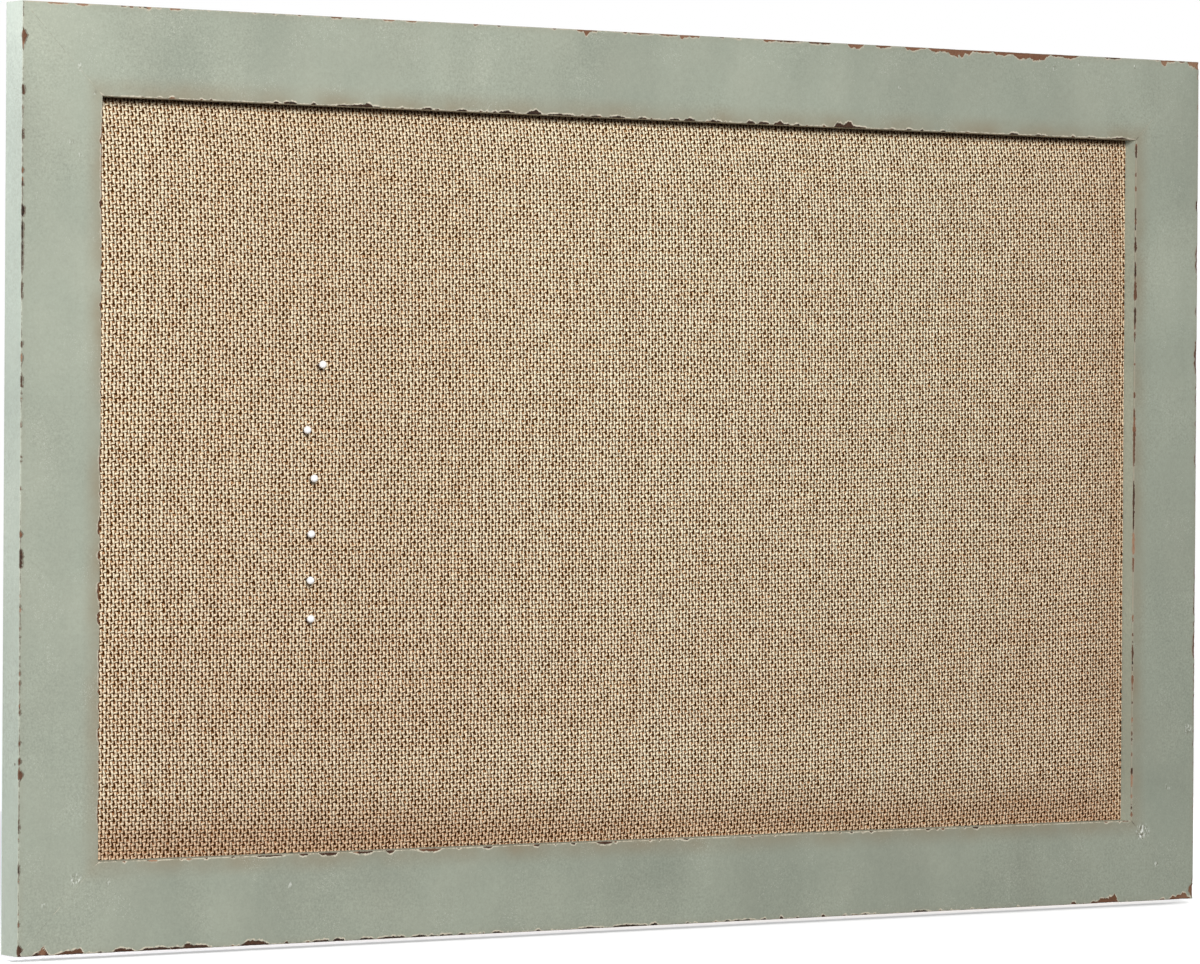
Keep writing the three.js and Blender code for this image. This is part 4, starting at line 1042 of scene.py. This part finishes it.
staple_dice = random.Random(21)
bm = bmesh.new()
row_x = PANEL_WIDTH / 2 - STAPLE_INSET
row_z = PANEL_HEIGHT / 2 - STAPLE_INSET
for side in (-1, 1):
    row_middle = Vector((0.0, CLOTH_BACK_Y, BOARD_MIDDLE_Z + side * row_z))
    staple_row(bm, row_middle, ACROSS, PANEL_WIDTH - STAPLE_FREE, staple_dice)
    row_middle = Vector((side * row_x, CLOTH_BACK_Y, BOARD_MIDDLE_Z))
    staple_row(bm, row_middle, UPWARD, PANEL_HEIGHT - STAPLE_FREE, staple_dice)
staple_wire = worn_steel("staple wire", (0.90, 0.89, 0.87, 1.0), 0.30, 0.05)
staples = piece(bm, "burlap_staples", staple_wire)
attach(staples, "root")

# Retaining points: flat blued steel points shot into the rabbet wall behind the panel.
# Each bites 6 mm into the wood and lies 9 mm over the burlap's fold, so that the panel can't fall out.
for member, count in (("top_rail", 4), ("bottom_rail", 4), ("right_stile", 2), ("left_stile", 2)):
    for number in range(1, count + 1):
        refinish(f"retaining_point_{member}_{number}", plain_steel)

# Hangers: a folded strap of plated steel behind each stile, held by two pan head screws.
# The strap's rolled eye carries a loose D ring.
for side in ("left", "right"):
    refinish("hanger_strap_" + side, plated_steel)
    for height in ("upper", "lower"):
        refinish(f"hanger_screw_{side}_{height}", plated_steel)

# Hanging rings: D rings bent from 2 mm plated wire, the straight bar loose in the strap's eye.
# The wall's hook carries the bow, 95 mm under the board's top edge.
HANGER_X = 386.5
EYE_Y = -2.7
EYE_Z = -11.0
BOW_Z = -8.0
BOW_RADIUS = 9.0
WIRE_RADIUS = 1.0
RING_CORNER = 2.0
for side, sign in (("left", -1), ("right", 1)):
    bm = bmesh.new()
    middle_x = sign * HANGER_X
    wire = bmesh.ops.create_circle(bm, segments=20, radius=WIRE_RADIUS)["verts"]
    bmesh.ops.translate(bm, verts=wire, vec=(middle_x + BOW_RADIUS, EYE_Y, BOW_Z))
    arm = BOW_Z - EYE_Z - RING_CORNER
    bar = BOW_RADIUS - RING_CORNER
    corner_z = EYE_Z + RING_CORNER
    end = bm.edges[:]
    for way, turn, steps in (
        (Vector((middle_x, EYE_Y, BOW_Z)), -math.pi, 40),
        (Vector((0.0, 0.0, -arm)), 0, 0),
        (Vector((middle_x - bar, EYE_Y, corner_z)), -math.pi / 2, 10),
        (Vector((2 * bar, 0.0, 0.0)), 0, 0),
        (Vector((middle_x + bar, EYE_Y, corner_z)), -math.pi / 2, 10),
        (Vector((0.0, 0.0, arm)), 0, 0),
    ):
        if turn:
            verts = list({vertex for edge in end for vertex in edge.verts})
            swept = bmesh.ops.spin(
                bm, geom=verts + end, cent=way, axis=(0.0, 1.0, 0.0), angle=turn, steps=steps
            )["geom_last"]
        else:
            swept = bmesh.ops.extrude_edge_only(bm, edges=end)["geom"]
            bmesh.ops.translate(bm, verts=verts_of(swept), vec=way)
        end = edges_of(swept)
    bmesh.ops.remove_doubles(bm, verts=bm.verts, dist=0.01)
    ring = piece(bm, "hanging_d_ring_" + side, plated_steel, 60)
    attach(ring, side + "_hanging_ring")
    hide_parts("hanging_ring_" + side)

# Wall bumpers: soft round-edged buttons of black rubber at the bottom corners, stuck on with their own glue.
# They keep the board level and its edge off the wall.
BUMPER_Z = -393.5
BUMPER_RADIUS = 6.4
BUMPER_BASE_Y = -5.0
BUMPER_THICKNESS = 5.0
BUMPER_ROUND = 1.2
DARK_RUBBER = (0.045, 0.045, 0.045, 1.0)
DUSTY_RUBBER = (0.085, 0.082, 0.078, 1.0)
rubber = Finish("bumper rubber")
dust = rubber.cloud(rubber.place(), 500.0, 4.0, 0.6)
rubber_finish = rubber.surface(rubber.tint(dust, DARK_RUBBER, DUSTY_RUBBER), 0.7, rubber.times(dust, 0.05))


def standing_disc(bm, radius, segments, centre):
    """A round face that stands upright, square to the board's depth."""
    upright = Matrix.Translation(centre) @ Matrix.Rotation(math.pi / 2, 4, "X")
    bmesh.ops.create_circle(bm, cap_ends=True, segments=segments, radius=radius, matrix=upright)


for side, sign in (("left", -1), ("right", 1)):
    bm = bmesh.new()
    standing_disc(bm, BUMPER_RADIUS, 48, (sign * HANGER_X, BUMPER_BASE_Y, BUMPER_Z))
    pushed(bm, bm.faces[:], (0.0, BUMPER_THICKNESS, 0.0))
    rounded = [edge for edge in bm.edges if all(vertex.co.y > -0.01 for vertex in edge.verts)]
    bmesh.ops.bevel(
        bm, geom=rounded, offset=BUMPER_ROUND, segments=5, profile=0.5, affect="EDGES", material=-1
    )
    bumper = piece(bm, "wall_bumper_button_" + side, rubber_finish, 40)
    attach(bumper, "root")
    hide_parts("wall_bumper_" + side)

# Map pins: six steel needles with moulded white plastic balls, pushed through the burlap into the cork.
# Each ball has a low collar where the needle leaves it, and a faint line where the mould met.
BALL_RADIUS = 2.15
NEEDLE_RADIUS = 0.45
NEEDLE_REACH = 7.0
NEEDLE_SEAT = 2.0
NEEDLE_TIP = 1.6
NEEDLE_BEDDED = 0.2
STAND_OFF = 1.3
COLLAR_RADIUS = 0.75
SEAM_HEIGHT = 0.025
WARM_WHITE = (0.87, 0.86, 0.85, 1.0)
CLEAR_WHITE = (0.92, 0.915, 0.91, 1.0)
plastic = Finish("white plastic")
haze = plastic.cloud(plastic.place(), 700.0, 3.0)
plastic_gloss = plastic.spread(haze, 0.3, 0.7, 0.14, 0.24)
plastic_colour = plastic.tint(haze, WARM_WHITE, CLEAR_WHITE)
plastic_finish = plastic.surface(plastic_colour, plastic_gloss, plastic.times(haze, 0.01))
for number, (share_x, share_z, share_off) in enumerate(PIN_PLACE_SHARES, start=1):
    x = share_x * OPENING_WIDTH
    z = share_z * OPENING_HEIGHT + BOARD_MIDDLE_Z
    ball_back = CLOTH_RIM_Y - crown(x, z - BOARD_MIDDLE_Z) - STAND_OFF * share_off
    centre = Vector((x, ball_back - BALL_RADIUS, z))
    bm = bmesh.new()
    upright = Matrix.Translation(centre) @ Matrix.Rotation(math.pi / 2, 4, "X")
    bmesh.ops.create_uvsphere(bm, u_segments=32, v_segments=20, radius=BALL_RADIUS, matrix=upright)
    for vertex in bm.verts:
        off_axis = math.hypot(vertex.co.x - x, vertex.co.z - z)
        if vertex.co.y > centre.y and off_axis < COLLAR_RADIUS:
            vertex.co.y = ball_back
        elif abs(vertex.co.x - x) < 0.01:
            vertex.co += (vertex.co - centre).normalized() * SEAM_HEIGHT
    ball = piece(bm, f"map_pin_head_{number}", plastic_finish, 60)
    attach(ball, f"map_pin_{number}")
    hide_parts(f"map_pin_ball_{number}")

    bm = bmesh.new()
    standing_disc(bm, NEEDLE_RADIUS, 16, (x, ball_back - NEEDLE_SEAT + NEEDLE_BEDDED, z))
    end_faces = bm.faces[:]
    straight = NEEDLE_SEAT + NEEDLE_REACH - NEEDLE_TIP - NEEDLE_BEDDED
    axis = Matrix.Translation((-x, 0.0, -z))
    for distance, narrow in ((straight, 1.0), (NEEDLE_TIP, 0.06)):
        grown = pushed(bm, end_faces, (0.0, distance, 0.0))
        end_faces = [part for part in grown if isinstance(part, bmesh.types.BMFace)]
        bmesh.ops.scale(bm, verts=verts_of(grown), vec=(narrow, 1.0, narrow), space=axis)
    needle = piece(bm, f"map_pin_shaft_{number}", plain_steel, 50)
    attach(needle, f"map_pin_{number}")
    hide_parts(f"map_pin_needle_{number}")

# Last, the view layer is brought up to date.
bpy.context.view_layer.update()
